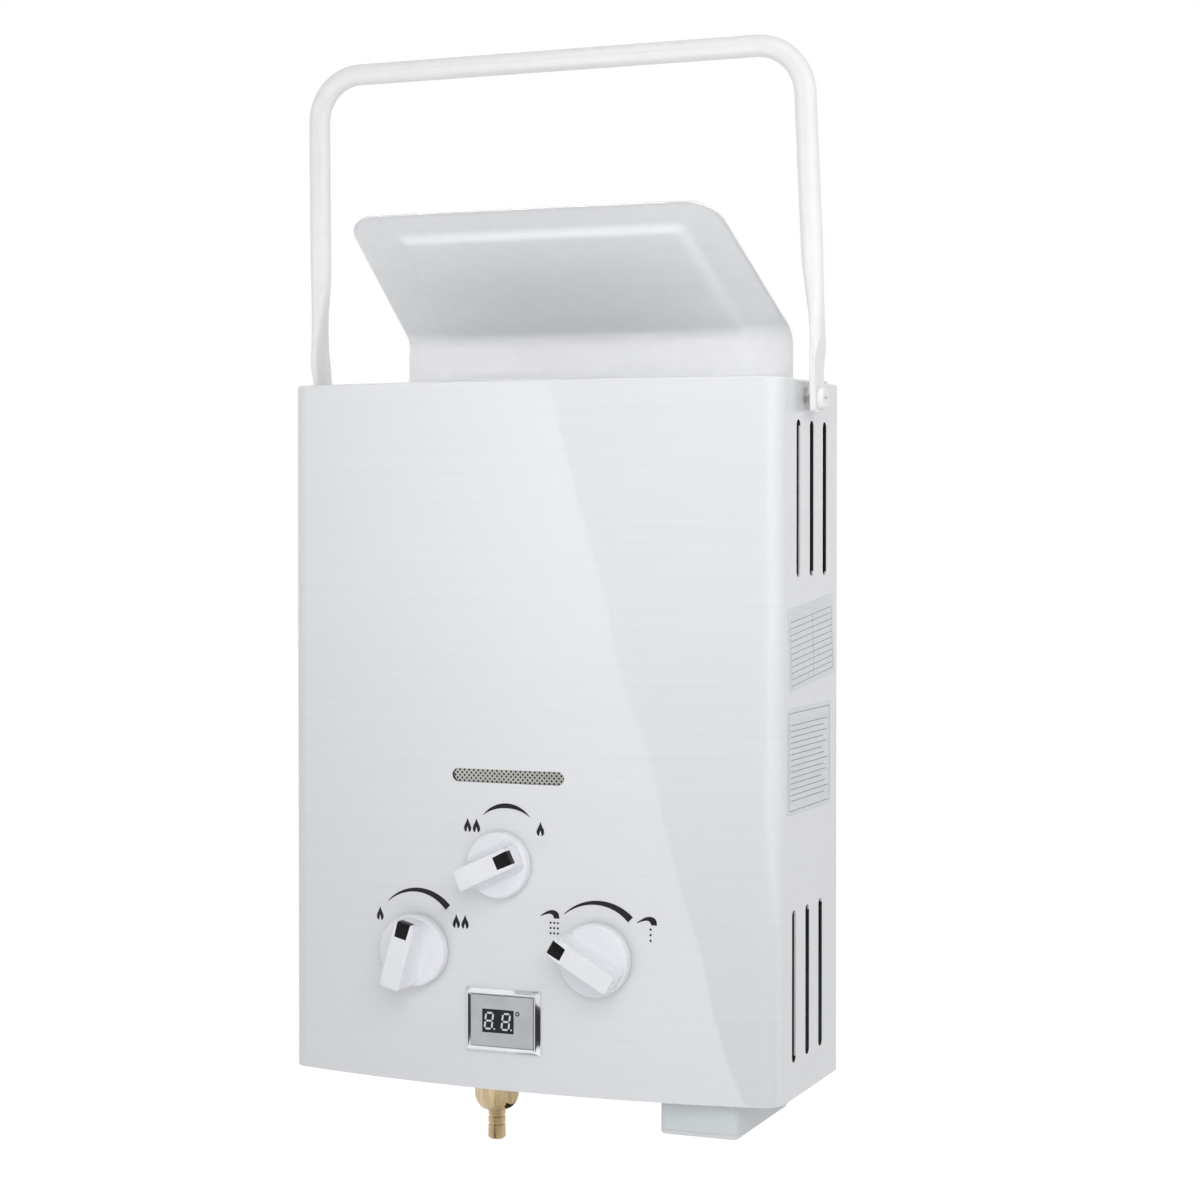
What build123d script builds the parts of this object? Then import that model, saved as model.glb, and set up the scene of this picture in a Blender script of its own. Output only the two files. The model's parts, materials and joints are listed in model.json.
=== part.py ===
from build123d import *

import math
import os

# Portable gas water heater, millimetres, +Z up, front facing -Y.
# The origin lies midway between the two wall keyholes, on the wall plane.

os.makedirs("parts", exist_ok=True)

# ---------------------------------------------------------------- driving sizes

# Casing
case_width = 290.0
case_height = 385.0
case_depth = 103.0  # wall plane to the front corners
front_bow = 15.0  # bulge of the front past its corners
case_corner = 13.0
top_edge = 1.5  # outer radius of the folded top edge
sheet = 1.0
back_sheet = 1.2
slip = 0.2  # gap between sheets that slide together
hook_drop = 32.0  # keyholes below the casing top
base_lift = 3.5  # base plate underside above the casing bottom
fold = 12.0  # width of folded edges
tab_width = 19.0

# Wall holes in the back plate
hook_spacing = 200.0
hook_entry_radius = 5.5
hook_neck_radius = 2.75
hook_rise = 9.0
lower_hole_spacing = 120.0
lower_hole_radius = 3.0
lower_hole_lift = 18.0  # above the casing bottom

# Air slots in the casing sides
air_slot_width = 6.5
air_slot_pitch = 23.5
air_slots_per_row = 3
upper_slot_length = 84.5
upper_slot_drop = 21.8  # slot tops below the casing top
upper_slot_depth = 47.0  # middle slot in front of the wall plane
lower_slot_length = 81.5
lower_slot_lift = 19.5  # slot bottoms above the casing bottom
lower_slot_depth = 54.0

# Flue opening in the casing top
flue_width = 170.0
flue_depth = 46.0

# Flame window
window_x = -4.5
window_drop = 214.6
window_width = 66.3
window_height = 7.3
grille_sheet = 0.5
grille_margin = 5.0
perforation = 0.5  # radius of one hole
perforation_pitch = 1.75
perforation_rows = 5

# Rain cap
cap_sheet = 1.0
cap_width = 240.0
cap_front_width = 217.6
cap_bend_rise = 31.4  # bend above the casing top
cap_tuck = 20.0  # length of the upright inside the casing
cap_front_rise = 94.1
cap_front_depth = 104.3
cap_bend_radius = 9.0
cap_front_corner = 18.0
cap_border = 27.0  # flat border round the embossed panel
cap_emboss = 1.2
cap_panel_corner = 14.0
cap_panel_lift = 9.0  # embossed panel above the casing top
cap_screw_spacing = 160.0
cap_screw_drop = 11.0

# Carrying handle
pivot_depth = 55.0  # in front of the wall plane
pivot_drop = 10.0
handle_side_gap = 3.75  # between casing side and pressed tab
handle_splay = 3.5  # legs nearer the centre plane at the grip than at the pivot
handle_height = 190.1
handle_lean = 3.6
handle_radius = 6.0
handle_wall = 2.0
handle_bend = 27.0
tab_end = 7.0  # pressed tab below the pivot
tab_length = 45.0
tab_breadth = 18.5
tab_thickness = 3.5
tab_corner = 3.0
press_length = 20.0  # length over which the tube flattens
press_step = 0.15  # the pressed tube end stays this far inside the tab's faces
handle_bolt_radius = 2.5
handle_bolt_clearance = 0.05
handle_bolt_head_radius = 6.25
handle_bolt_head_height = 3.2
handle_nut_height = 4.0
handle_nut_flats = 8.0
handle_bush_radius = 6.0

# Small screws
screw_radius = 2.0
screw_head_radius = 3.5
screw_head_height = 1.8
screw_length = 7.0
head_round = 0.6  # edge round of a screw head, as a share of its height
recess_reach = 0.9  # length of the cross recess, as a share of the head radius
recess_slot = 0.22  # width of the cross recess, as a share of the head radius
front_screw_x = 62.0

# Knobs, measured from the panel outwards
knob_gap = 1.0
disc_height = 7.0
disc_edge = 1.8
knob_height = 25.0
grip_flare = 7.0  # extra width of the grip where it meets the disc
grip_corner = 1.6
pointer_length = 8.5
pointer_width = 7.6
pointer_depth = 6.0
spindle_radius = 4.0
spindle_clearance = 0.05
spindle_grip = 11.0  # spindle length inside the knob
spindle_hole_radius = 6.0

season_x = -8.0
season_drop = 262.0
season_radius = 18.0
season_grip = (34.0, 11.7)
season_angle = 65.0  # pointer clockwise from up
gas_x = -59.5
gas_drop = 311.5
gas_radius = 19.7
gas_grip = (37.0, 12.0)
gas_angle = 15.0
water_x = 48.0
water_drop = 310.0
water_radius = 19.7
water_grip = (38.6, 11.0)
water_angle = -60.0

# Display
display_x = -6.85
display_drop = 347.2
bezel_width = 44.3
bezel_height = 34.9
bezel_border = 3.7
bezel_thickness = 3.2
bezel_bevel = 1.8
sleeve_inset = 1.3
sleeve_wall = 1.2
sleeve_depth = 9.0
face_recess = 1.2
face_thickness = 1.0
lens_x = -9.2
lens_width = 18.7
lens_height = 12.8
led_width = 26.0
led_height = 20.0
board_thickness = 1.6

# Labels on the right side
label_thickness = 0.3
rating_label_width = 80.0
rating_label_height = 44.0
rating_label_depth = 47.0
rating_label_drop = 142.0
rating_label_tilt = 5.0
notice_label_width = 76.0
notice_label_height = 56.5
notice_label_depth = 51.0
notice_label_drop = 204.5
label_corner = 1.5

# Battery box
battery_x = 99.0
battery_width = 44.0
battery_front = 101.0
battery_back = 12.0
battery_reach = 19.5  # below the casing bottom
battery_wall = 1.8
battery_corner = 4.0
battery_rim = 3.0
battery_cover_thickness = 2.5
battery_cover_gap = 0.1
battery_cover_edge = 1.2
cell_edge = 0.9
cell_radius = 16.6
cell_length = 60.0
cell_nub_radius = 4.7
cell_nub_height = 1.5
cell_gap = 0.3
contact_size = 18.8
contact_thickness = 0.5
contact_pad = 2.0
hinge_pin_radius = 1.0
hinge_clearance = 0.05
hinge_setback = 8.0
hinge_lift = 2.4
knuckle_radius = 2.3

# Combustion chamber and exchanger
chamber_width = 150.0
chamber_depth = 64.0
chamber_back = 24.0
chamber_corner = 12.0
chamber_sheet = 0.8
chamber_drop = 70.0  # top of the chamber below the casing top
chamber_height = 137.0
fin_pitch = 4.0
fin_thickness = 0.6
fin_height = 34.0
fin_edge = 2.2
fin_corner = 3.0
fin_end_margin = 5.0
tube_radius = 7.0
tube_wall = 1.0
tube_pitch = 20.0
tube_drop = 91.0
tube_end_margin = 4.0
tube_clearance = 0.05
block_length = 16.0
block_height = 18.0
block_overhang = 1.0
coil_radius = 6.0
coil_wall = 0.8
coil_clearance = 0.5
coil_turns = 2
coil_start_lift = 15.0
coil_pitch = 28.0
coil_bend = 18.5
coil_climb = (0.1, 0.4, 0.55, 0.9)  # share of one turn's rise reached at its corners
lead_rise = 18.0  # straight pipe above the water valve
lead_slant = 12.0  # height over which the lead crosses to the coil
riser_bend = 12.0

# Flue hood
hood_sheet = 0.8
hood_width = 184.0
hood_depth = 60.0
hood_flare_height = 38.0
hood_overlap = 8.0
hood_top_gap = 0.2
hood_corner = 12.0

# Burner
burner_width = 144.0
burner_depth = 61.0
burner_height = 32.0
burner_gap = 5.0  # below the chamber
burner_back = 25.0
burner_sheet = 1.0
bar_pitch = 12.0
bar_width = 5.0
bar_top_radius = 3.4
bar_bulb_radius = 4.5
bar_bulb_lift = 6.0
bar_bore_radius = 3.0
bar_bore_length = 32.0
bar_port_count = 12
bar_port_pitch = 4.4
bar_port_width = 0.8
bar_port_depth = 3.0
rail_width = 136.0
rail_depth = 10.0
rail_height = 12.0
nozzle_radius = 2.5
nozzle_length = 3.0
nozzle_bore = 0.6

# Season valve
season_valve_width = 28.0
season_valve_depth = 26.0
season_boss_radius = 9.0
season_boss_length = 6.0

# Gas valve
gas_valve_width = 60.0
gas_valve_depth = 46.0
gas_valve_height = 46.0
gas_valve_back = 50.0
gas_valve_left = -84.0
gas_valve_sink = 1.5  # its middle below the push rod
valve_edge = 2.0
boss_radius = 10.0
boss_length = 6.0
spindle_seat = 14.0
gland_radius = 7.0
gland_length = 6.0
solenoid_radius = 11.0
solenoid_length = 26.0
solenoid_lift = 14.0
riser_radius = 5.0
riser_wall = 0.8
riser_x = -44.0
riser_entry_drop = 2.5  # below the season spindle

# Water valve
water_valve_left = 24.0
water_valve_width = 50.0
water_valve_depth = 46.0
water_valve_height = 44.0
water_valve_back = 46.0
housing_radius = 27.0
housing_thickness = 12.0
housing_cavity_radius = 20.0
housing_cavity_depth = 8.0
diaphragm_radius = 25.0
diaphragm_thickness = 1.0
housing_screw_count = 6
housing_circle_radius = 23.3
housing_screw_radius = 1.5
housing_head_radius = 3.0
housing_head_height = 1.5
housing_screw_grip = 6.0  # thread in the valve body
housing_screw_start = 30.0
rod_drop = 310.0
rod_radius = 2.5
rod_clearance = 0.05
rod_seat = 8.0
rod_plate_radius = 12.0
rod_plate_thickness = 2.4
rod_travel = 3.0
rod_collar_radius = 5.0
rod_collar_thickness = 2.0
switch_size = (12.0, 18.0, 12.0)
switch_lever = (0.5, 6.0, 4.0)

# Fittings through the base plate
fitting_pipe_radius = 8.0
fitting_collar_radius = 11.8
fitting_collar_height = 4.0
fitting_thread_radius = 10.48
fitting_neck_radius = 10.2
fitting_neck_reach = 0.3  # neck below the base plate
fitting_hole_clearance = 0.3
fitting_bore = 5.5
fitting_chamfer = 0.6
gas_inlet_x = -38.0
gas_inlet_depth = 58.0
gas_thread_reach = 11.0  # below the casing bottom
water_inlet_x = 60.0
water_inlet_depth = 60.0
water_outlet_offset = 31.0  # beside the combustion chamber
water_outlet_depth = 52.0
water_thread_reach = 9.0
water_outlet_top = 31.0  # above the casing bottom
drain_x = 34.0
drain_depth = 62.0
drain_stem_radius = 5.0
drain_head_radius = 8.0
drain_head_height = 7.0
drain_grips = 12
drain_grip_radius = 0.7

# Union nut and hose nipple
nut_corner_radius = 12.7
nut_top_reach = 6.0  # below the casing bottom
nut_height = 18.0
nut_floor = 9.0
nut_clearance = 0.05
nut_chamfer = 1.5
nut_turn = 15.0
seal_thickness = 1.0
nipple_collar_radius = 10.2
nipple_collar_height = 3.0
nipple_neck_radius = 7.0
nipple_neck_length = 1.0
nipple_radius = 5.0
nipple_length = 17.0
nipple_bore = 3.0
nipple_tip_chamfer = 1.0
groove_depth = 0.6
groove_width = 1.4
groove_pitch = 4.5

# Small parts inside
bracket_sheet = 1.5
bracket_width = 18.0
bracket_foot = 11.0
bracket_spacing = 100.0
igniter_size = (50.0, 26.0, 60.0)
igniter_side_gap = 7.0  # to the casing's left side
igniter_drop = 252.0
electrode_radius = 2.5
electrode_height = 19.5
electrode_tip = 8.0
electrode_tip_radius = 0.9
electrode_x = 26.0
flame_sensor_x = -38.0
electrode_clip = (9.0, 6.0)
cutout_radius = 6.5
cutout_height = 5.0

# ---------------------------------------------------------------- derived places

half_width = case_width / 2
case_top = hook_drop
case_bottom = hook_drop - case_height
base_under = case_bottom + base_lift
base_top = base_under + back_sheet
bow_radius = (half_width**2 + front_bow**2) / (2 * front_bow)
bow_centre_y = bow_radius - case_depth - front_bow
inner_top = case_top - sheet
plate_half_width = half_width - sheet - slip
pivot_reach = half_width + handle_side_gap + tab_thickness / 2
handle_reach = pivot_reach - handle_splay
water_outlet_x = -chamber_width / 2 - water_outlet_offset
bar_count = int((burner_width - 2 * burner_sheet) / bar_pitch)


def front_y(x, inset=0.0):
    """Y of the bowed front at x, for a skin set in from the outside."""
    return bow_centre_y - math.sqrt((bow_radius - inset) ** 2 - x**2)


def casing_outline(inset):
    """Plan outline of the casing, set in everywhere but at the wall."""
    side = half_width - inset
    corner_y = front_y(side, inset)
    with BuildSketch() as outline:
        with BuildLine():
            Line((-side, 0), (-side, corner_y))
            ThreePointArc((-side, corner_y), (0, front_y(0, inset)), (side, corner_y))
            Line((side, corner_y), (side, 0))
            Line((side, 0), (-side, 0))
        make_face()
        fillet(outline.vertices().sort_by(Axis.Y)[:2], max(case_corner - inset, sheet))
    return outline.sketch


def casing_solid(inset, top, edge):
    """The casing's outer shape, set in all round, its top edge rounded."""
    with BuildPart() as solid:
        with BuildSketch(Plane.XY.offset(case_bottom)):
            add(casing_outline(inset))
        extrude(amount=top - case_bottom)
        # the last of the top edges by Y lies on the wall and stays sharp
        fillet(solid.edges().group_by(Axis.Z)[-1].sort_by(Axis.Y)[:-1], edge)
    return solid.part


def block(low, high, mode=Mode.ADD):
    """A box between two opposite corners."""
    size = [far - near for near, far in zip(low, high)]
    with Locations(low):
        Box(*size, align=(Align.MIN, Align.MIN, Align.MIN), mode=mode)


def rod(start, direction, radius, length, mode=Mode.ADD):
    """A round bar that starts at a point and runs along a direction."""
    with BuildSketch(Plane(origin=start, z_dir=direction)) as section:
        Circle(radius)
    extrude(section.sketch, amount=length, mode=mode)


def hexagon(start, direction, flats, length, mode=Mode.ADD):
    """A hexagonal bar that starts at a point and runs along a direction."""
    with BuildSketch(Plane(origin=start, z_dir=direction)) as section:
        RegularPolygon(flats / 2, 6, major_radius=False)
    extrude(section.sketch, amount=length, mode=mode)


def screw(radius, length, head_radius, head_height):
    """A cross-head screw, its seat on z = 0 and its shank pointing down."""
    with BuildPart() as one:
        rod((0, 0, 0), (0, 0, 1), head_radius, head_height)
        fillet(one.edges().group_by(Axis.Z)[-1], head_height * head_round)
        rod((0, 0, 0), (0, 0, -1), radius, length)
        recess = head_radius * recess_reach
        recess_width = head_radius * recess_slot
        with Locations((0, 0, head_height)):
            Box(recess, recess_width, head_height, mode=Mode.SUBTRACT)
            Box(recess_width, recess, head_height, mode=Mode.SUBTRACT)
    return one.part


def pipe(points, bends, radius, wall):
    """A bent pipe, open at both ends."""
    with BuildPart() as bent:
        with BuildLine() as route:
            FilletPolyline(*points, radius=bends)
        with BuildSketch(Plane(origin=route.line @ 0, z_dir=route.line % 0)):
            Circle(radius)
            Circle(radius - wall, mode=Mode.SUBTRACT)
        sweep(path=route.line)
    return bent.part


def z_bracket(front, level):
    """A folded strip from the back plate forward to y = -front."""
    near = -front + bracket_sheet / 2
    far = -back_sheet - bracket_sheet / 2
    with BuildPart() as strip:
        with BuildSketch(Plane.YZ.offset(-bracket_width / 2)):
            with BuildLine():
                Polyline((near, level + bracket_foot), (near, level), (far, level), (far, level - bracket_foot))
            trace(line_width=bracket_sheet)
        extrude(amount=bracket_width)
    return strip.part


# ---------------------------------------------------------------- casing

upper_slot_z = case_top - upper_slot_drop - upper_slot_length / 2
lower_slot_z = case_bottom + lower_slot_lift + lower_slot_length / 2
slot_rows = (
    (upper_slot_z, upper_slot_length, upper_slot_depth),
    (lower_slot_z, lower_slot_length, lower_slot_depth),
)
window_z = case_top - window_drop
knob_places = (
    (season_x, case_top - season_drop),
    (gas_x, case_top - gas_drop),
    (water_x, case_top - water_drop),
)
display_z = case_top - display_drop
sleeve_width = bezel_width - 2 * sleeve_inset
sleeve_height = bezel_height - 2 * sleeve_inset
pivot_y = -pivot_depth
pivot_z = case_top - pivot_drop
flue_y = -chamber_back - chamber_depth / 2
rear_screw_x = half_width - sheet - fold / 2
rear_screw_y = -back_sheet - fold / 2
front_screw_y = front_y(front_screw_x) + sheet + fold / 2
flange_under = base_under - sheet
battery_left = battery_x - battery_width / 2
battery_right = battery_x + battery_width / 2
cap_notch = cap_sheet + back_sheet + slip

with BuildPart() as front_cover:
    add(casing_solid(0, case_top, top_edge))
    add(casing_solid(sheet, inner_top, top_edge - sheet), mode=Mode.SUBTRACT)
    # return flange that carries the base plate, open round the battery box
    with BuildSketch(Plane.XY.offset(flange_under)):
        add(casing_outline(sheet))
        add(casing_outline(sheet + fold), mode=Mode.SUBTRACT)
    extrude(amount=sheet)
    block(
        (battery_left - slip, -battery_front - slip, flange_under),
        (battery_right + slip, -battery_back, base_under),
        Mode.SUBTRACT,
    )
    # flue opening and the notch behind it for the rain cap
    with BuildSketch(Plane.XY.offset(inner_top)):
        with Locations((0, flue_y)):
            RectangleRounded(flue_width, flue_depth, cap_bend_radius)
    extrude(amount=sheet, mode=Mode.SUBTRACT)
    block((-cap_width / 2 - slip, -cap_notch, inner_top), (cap_width / 2 + slip, 0, case_top), Mode.SUBTRACT)
    # air slots through both sides
    for slot_z, slot_length, slot_depth in slot_rows:
        with BuildSketch(Plane.YZ.offset(-half_width)):
            with Locations((-slot_depth, slot_z)):
                with GridLocations(air_slot_pitch, 1, air_slots_per_row, 1):
                    SlotOverall(slot_length, air_slot_width, rotation=90)
        extrude(amount=case_width, mode=Mode.SUBTRACT)
    # flame window, knob spindles and display, cut from the front
    with BuildSketch(Plane.XZ.offset(case_depth / 2)):
        with Locations((window_x, window_z)):
            SlotOverall(window_width, window_height)
        with Locations(*knob_places):
            Circle(spindle_hole_radius)
        with Locations((display_x, display_z)):
            Rectangle(sleeve_width + 2 * slip, sleeve_height + 2 * slip)
    extrude(amount=case_depth, mode=Mode.SUBTRACT)
    # handle bolts through the sides
    rod((-half_width, pivot_y, pivot_z), (1, 0, 0), handle_bolt_radius + slip, case_width, Mode.SUBTRACT)
    # screw holes in the top and in the return flange
    for side in (-1, 1):
        for screw_x, screw_y, screw_z in (
            (rear_screw_x, rear_screw_y, inner_top),
            (rear_screw_x, rear_screw_y, flange_under),
            (front_screw_x, front_screw_y, flange_under),
        ):
            hole = (side * screw_x, screw_y, screw_z)
            rod(hole, (0, 0, 1), screw_radius + slip, sheet, Mode.SUBTRACT)
front_cover.part.label = "front_cover"

plate_top = inner_top - slip

with BuildPart() as back_plate:
    block((-plate_half_width, -back_sheet, base_under), (plate_half_width, 0, plate_top))
    for side in (-1, 1):
        flange_x = min(side * plate_half_width, side * (plate_half_width - back_sheet))
        block((flange_x, -back_sheet - fold, base_top), (flange_x + back_sheet, -back_sheet, plate_top))
        tab_x = min(side * plate_half_width, side * (plate_half_width - tab_width))
        for tab_z in (plate_top - back_sheet, base_top):
            block((tab_x, -back_sheet - fold, tab_z), (tab_x + tab_width, -back_sheet, tab_z + back_sheet))
        rod((side * rear_screw_x, rear_screw_y, base_under), (0, 0, 1), screw_radius, case_height, Mode.SUBTRACT)
    # keyholes: a round entry with a narrow neck above it
    with BuildSketch(Plane.XZ):
        with GridLocations(hook_spacing, 1, 2, 1):
            Circle(hook_entry_radius)
            with Locations((0, hook_rise / 2)):
                SlotCenterToCenter(hook_rise, 2 * hook_neck_radius, rotation=90)
    extrude(amount=back_sheet, mode=Mode.SUBTRACT)
    with BuildSketch(Plane.XZ):
        with Locations((0, case_bottom + lower_hole_lift)):
            with GridLocations(lower_hole_spacing, 1, 2, 1):
                Circle(lower_hole_radius)
        with Locations((0, case_top - cap_screw_drop)):
            with GridLocations(cap_screw_spacing, 1, 2, 1):
                Circle(screw_radius)
    extrude(amount=back_sheet, mode=Mode.SUBTRACT)
back_plate.part.label = "back_plate"

fitting_places = (
    (gas_inlet_x, -gas_inlet_depth),
    (water_inlet_x, -water_inlet_depth),
    (water_outlet_x, -water_outlet_depth),
)
battery_length = battery_front - battery_back
battery_mid_y = -(battery_front + battery_back) / 2

with BuildPart() as base_plate:
    with BuildSketch(Plane.XY.offset(base_under)):
        add(casing_outline(sheet + slip))
        Rectangle(case_width, 2 * back_sheet, mode=Mode.SUBTRACT)
        with Locations(*fitting_places):
            Circle(fitting_thread_radius + fitting_hole_clearance, mode=Mode.SUBTRACT)
        with Locations((drain_x, -drain_depth)):
            Circle(drain_stem_radius + fitting_hole_clearance, mode=Mode.SUBTRACT)
        with Locations((battery_x, battery_mid_y)):
            RectangleRounded(
                battery_width + 2 * slip, battery_length + 2 * slip, battery_corner, mode=Mode.SUBTRACT
            )
        with Locations((-front_screw_x, front_screw_y), (front_screw_x, front_screw_y)):
            Circle(screw_radius, mode=Mode.SUBTRACT)
        with Locations((-rear_screw_x, rear_screw_y), (rear_screw_x, rear_screw_y)):
            Circle(screw_radius + slip, mode=Mode.SUBTRACT)
    extrude(amount=back_sheet)
base_plate.part.label = "base_plate"

# ---------------------------------------------------------------- rain cap

cap_back_y = -back_sheet - cap_sheet / 2
cap_bend_z = case_top + cap_bend_rise
cap_front_z = case_top + cap_front_rise
cap_slope = math.atan2(cap_front_z - cap_bend_z, cap_front_depth + cap_back_y)
cap_length = math.hypot(cap_front_z - cap_bend_z, cap_front_depth + cap_back_y)
canopy_plane = Plane(
    origin=(0, cap_back_y, cap_bend_z),
    x_dir=(1, 0, 0),
    z_dir=(0, math.sin(cap_slope), math.cos(cap_slope)),
)
cap_reach = cap_length + cap_tuck + cap_bend_rise


def cap_strip(shift, width, thickness, mode=Mode.ADD):
    """Sheet of this thickness along the cap's bent line, moved outwards by shift."""
    front = Vector(0, -cap_front_depth, cap_front_z) + canopy_plane.z_dir * shift
    run = (cap_back_y + shift - front.Y) / math.cos(cap_slope)
    corner = (cap_back_y + shift, front.Z - run * math.sin(cap_slope))
    foot = (cap_back_y + shift, case_top - cap_tuck)
    with BuildSketch(Plane.YZ.offset(-width / 2)) as profile:
        with BuildLine():
            FilletPolyline(foot, corner, (front.Y, front.Z), radius=cap_bend_radius + shift)
        trace(line_width=thickness)
    extrude(profile.sketch, amount=width, mode=mode)


def cap_outline(border, corner, back):
    """Tapered plan of the cap on its slope, set in by a border."""
    rear_half = cap_width / 2 - border
    front_half = cap_front_width / 2 - border
    front_edge = border - cap_length
    with BuildSketch(canopy_plane) as outline:
        with BuildLine():
            Polyline(
                (-rear_half, back),
                (-rear_half, 0),
                (-front_half, front_edge),
                (front_half, front_edge),
                (rear_half, 0),
                (rear_half, back),
                close=True,
            )
        make_face()
        fillet(outline.vertices().sort_by(Axis.Y)[:2], corner)
    return outline.sketch


def cap_panel(shift, thickness, border, corner, back):
    """The part of a cap strip that lies inside a tapered outline."""
    with BuildPart() as panel:
        cap_strip(shift, cap_width, thickness)
        extrude(cap_outline(border, corner, back), amount=cap_reach, both=True, mode=Mode.INTERSECT)
    return panel.part


panel_back = (cap_bend_rise - cap_panel_lift) * math.sin(cap_slope)
cap_screw_z = case_top - cap_screw_drop

with BuildPart() as rain_cap:
    add(cap_panel(0, cap_sheet, 0, cap_front_corner, cap_reach))
    add(cap_panel(cap_emboss / 2, cap_emboss + cap_sheet, cap_border, cap_panel_corner, panel_back))
    hollow_border = cap_border + cap_sheet
    hollow_shift = (cap_emboss - cap_sheet) / 2
    hollow_corner = cap_panel_corner - cap_sheet
    hollow_back = panel_back - cap_sheet
    hollow = cap_panel(hollow_shift, cap_emboss, hollow_border, hollow_corner, hollow_back)
    add(hollow, mode=Mode.SUBTRACT)
    with BuildSketch(Plane.XZ):
        with Locations((0, cap_screw_z)):
            with GridLocations(cap_screw_spacing, 1, 2, 1):
                Circle(screw_radius + slip)
    extrude(amount=2 * cap_notch, mode=Mode.SUBTRACT)
rain_cap.part.label = "rain_cap"

with BuildPart() as casing_screws:
    cap_seat_y = -back_sheet - cap_sheet
    for side in (-1, 1):
        with Locations(
            Location((side * rear_screw_x, rear_screw_y, case_top)),
            Location((side * rear_screw_x, rear_screw_y, flange_under), (180, 0, 0)),
            Location((side * front_screw_x, front_screw_y, flange_under), (180, 0, 0)),
        ):
            add(screw(screw_radius, screw_length, screw_head_radius, screw_head_height))
        # the rain cap's screws in the back plate
        with Locations(Location((side * cap_screw_spacing / 2, cap_seat_y, cap_screw_z), (90, 0, 0))):
            add(screw(screw_radius, -cap_seat_y, screw_head_radius, screw_head_height))
casing_screws.part.label = "casing_screws"

# ---------------------------------------------------------------- carrying handle

lean = math.radians(handle_lean)
handle_plane = Plane(
    origin=(0, pivot_y, pivot_z),
    x_dir=(1, 0, 0),
    z_dir=(0, -math.cos(lean), -math.sin(lean)),
)


def leg_x(height):
    """Distance of the leg axis from the centre plane at this height above the pivot."""
    return pivot_reach + (handle_reach - pivot_reach) * height / handle_height


press_end = tab_length + press_length

with BuildPart() as carry_handle:
    with BuildLine(handle_plane) as grip_line:
        FilletPolyline(
            (-leg_x(press_end), press_end),
            (-handle_reach, handle_height),
            (handle_reach, handle_height),
            (leg_x(press_end), press_end),
            radius=handle_bend,
        )
    tube_ends = [
        Plane(origin=grip_line.line @ end, x_dir=handle_plane.z_dir, z_dir=grip_line.line % end)
        for end in (0, 1)
    ]
    with BuildSketch(tube_ends[0]):
        Circle(handle_radius)
        Circle(handle_radius - handle_wall, mode=Mode.SUBTRACT)
    sweep(path=grip_line.line)
    for side, tube_end in zip((-1, 1), tube_ends):
        # the tube end, pressed from round to flat, reaches a little into the tab
        with BuildSketch(tube_end) as round_end:
            Circle(handle_radius)
        flat_plane = Plane(
            origin=handle_plane.from_local_coords((side * pivot_reach, tab_length - tab_corner, 0)),
            x_dir=handle_plane.z_dir,
            z_dir=handle_plane.y_dir,
        )
        with BuildSketch(flat_plane) as flat_end:
            Ellipse(tab_breadth / 2 - press_step, tab_thickness / 2 - press_step)
        loft([flat_end.sketch, round_end.sketch])
        tab_plane = Plane(
            origin=handle_plane.from_local_coords((side * pivot_reach - tab_thickness / 2, 0, 0)),
            x_dir=handle_plane.z_dir,
            z_dir=(1, 0, 0),
        )
        with BuildSketch(tab_plane) as tab:
            with Locations((0, (tab_end - tab_length) / 2)):
                RectangleRounded(tab_breadth, tab_length + tab_end, tab_corner)
        extrude(tab.sketch, amount=tab_thickness)
    bolt_bore = handle_bolt_radius + handle_bolt_clearance
    rod((-case_width, pivot_y, pivot_z), (1, 0, 0), bolt_bore, 2 * case_width, Mode.SUBTRACT)
carry_handle.part.label = "carry_handle"

handle_inner_x = pivot_reach - tab_thickness / 2
handle_outer_x = pivot_reach + tab_thickness / 2
bolt_inner_x = half_width - sheet - handle_nut_height
bush_gap = 2 * handle_bolt_clearance

with BuildPart() as handle_bolts:
    for side in (-1, 1):
        bolt_seat = (side * (handle_outer_x + bush_gap), pivot_y, pivot_z)
        bolt_length = handle_outer_x + bush_gap - bolt_inner_x
        with Locations(Location(bolt_seat, (0, side * 90, 0))):
            add(screw(handle_bolt_radius, bolt_length, handle_bolt_head_radius, handle_bolt_head_height))
handle_bolts.part.label = "handle_bolts"

with BuildPart() as handle_fixings:
    for side in (-1, 1):
        # a bush between casing and handle, and a nut inside the casing
        bush_start = (side * half_width, pivot_y, pivot_z)
        bush_length = handle_inner_x - half_width - bush_gap
        rod(bush_start, (side, 0, 0), handle_bush_radius, bush_length)
        nut_start = (side * bolt_inner_x, pivot_y, pivot_z)
        hexagon(nut_start, (side, 0, 0), handle_nut_flats, handle_nut_height)
        bolt_path = bush_length + sheet + handle_nut_height
        rod(nut_start, (side, 0, 0), handle_bolt_radius, bolt_path, Mode.SUBTRACT)
handle_fixings.part.label = "handle_fixings"

# ---------------------------------------------------------------- flame window

grille_half = window_width / 2 + grille_margin
grille_left = window_x - grille_half
grille_right = window_x + grille_half


def grille_arc(inset):
    """The grille's curve, set in from the outside of the bowed front."""
    return ThreePointArc(
        (grille_left, front_y(grille_left, inset)),
        (window_x, front_y(window_x, inset)),
        (grille_right, front_y(grille_right, inset)),
    )


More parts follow.
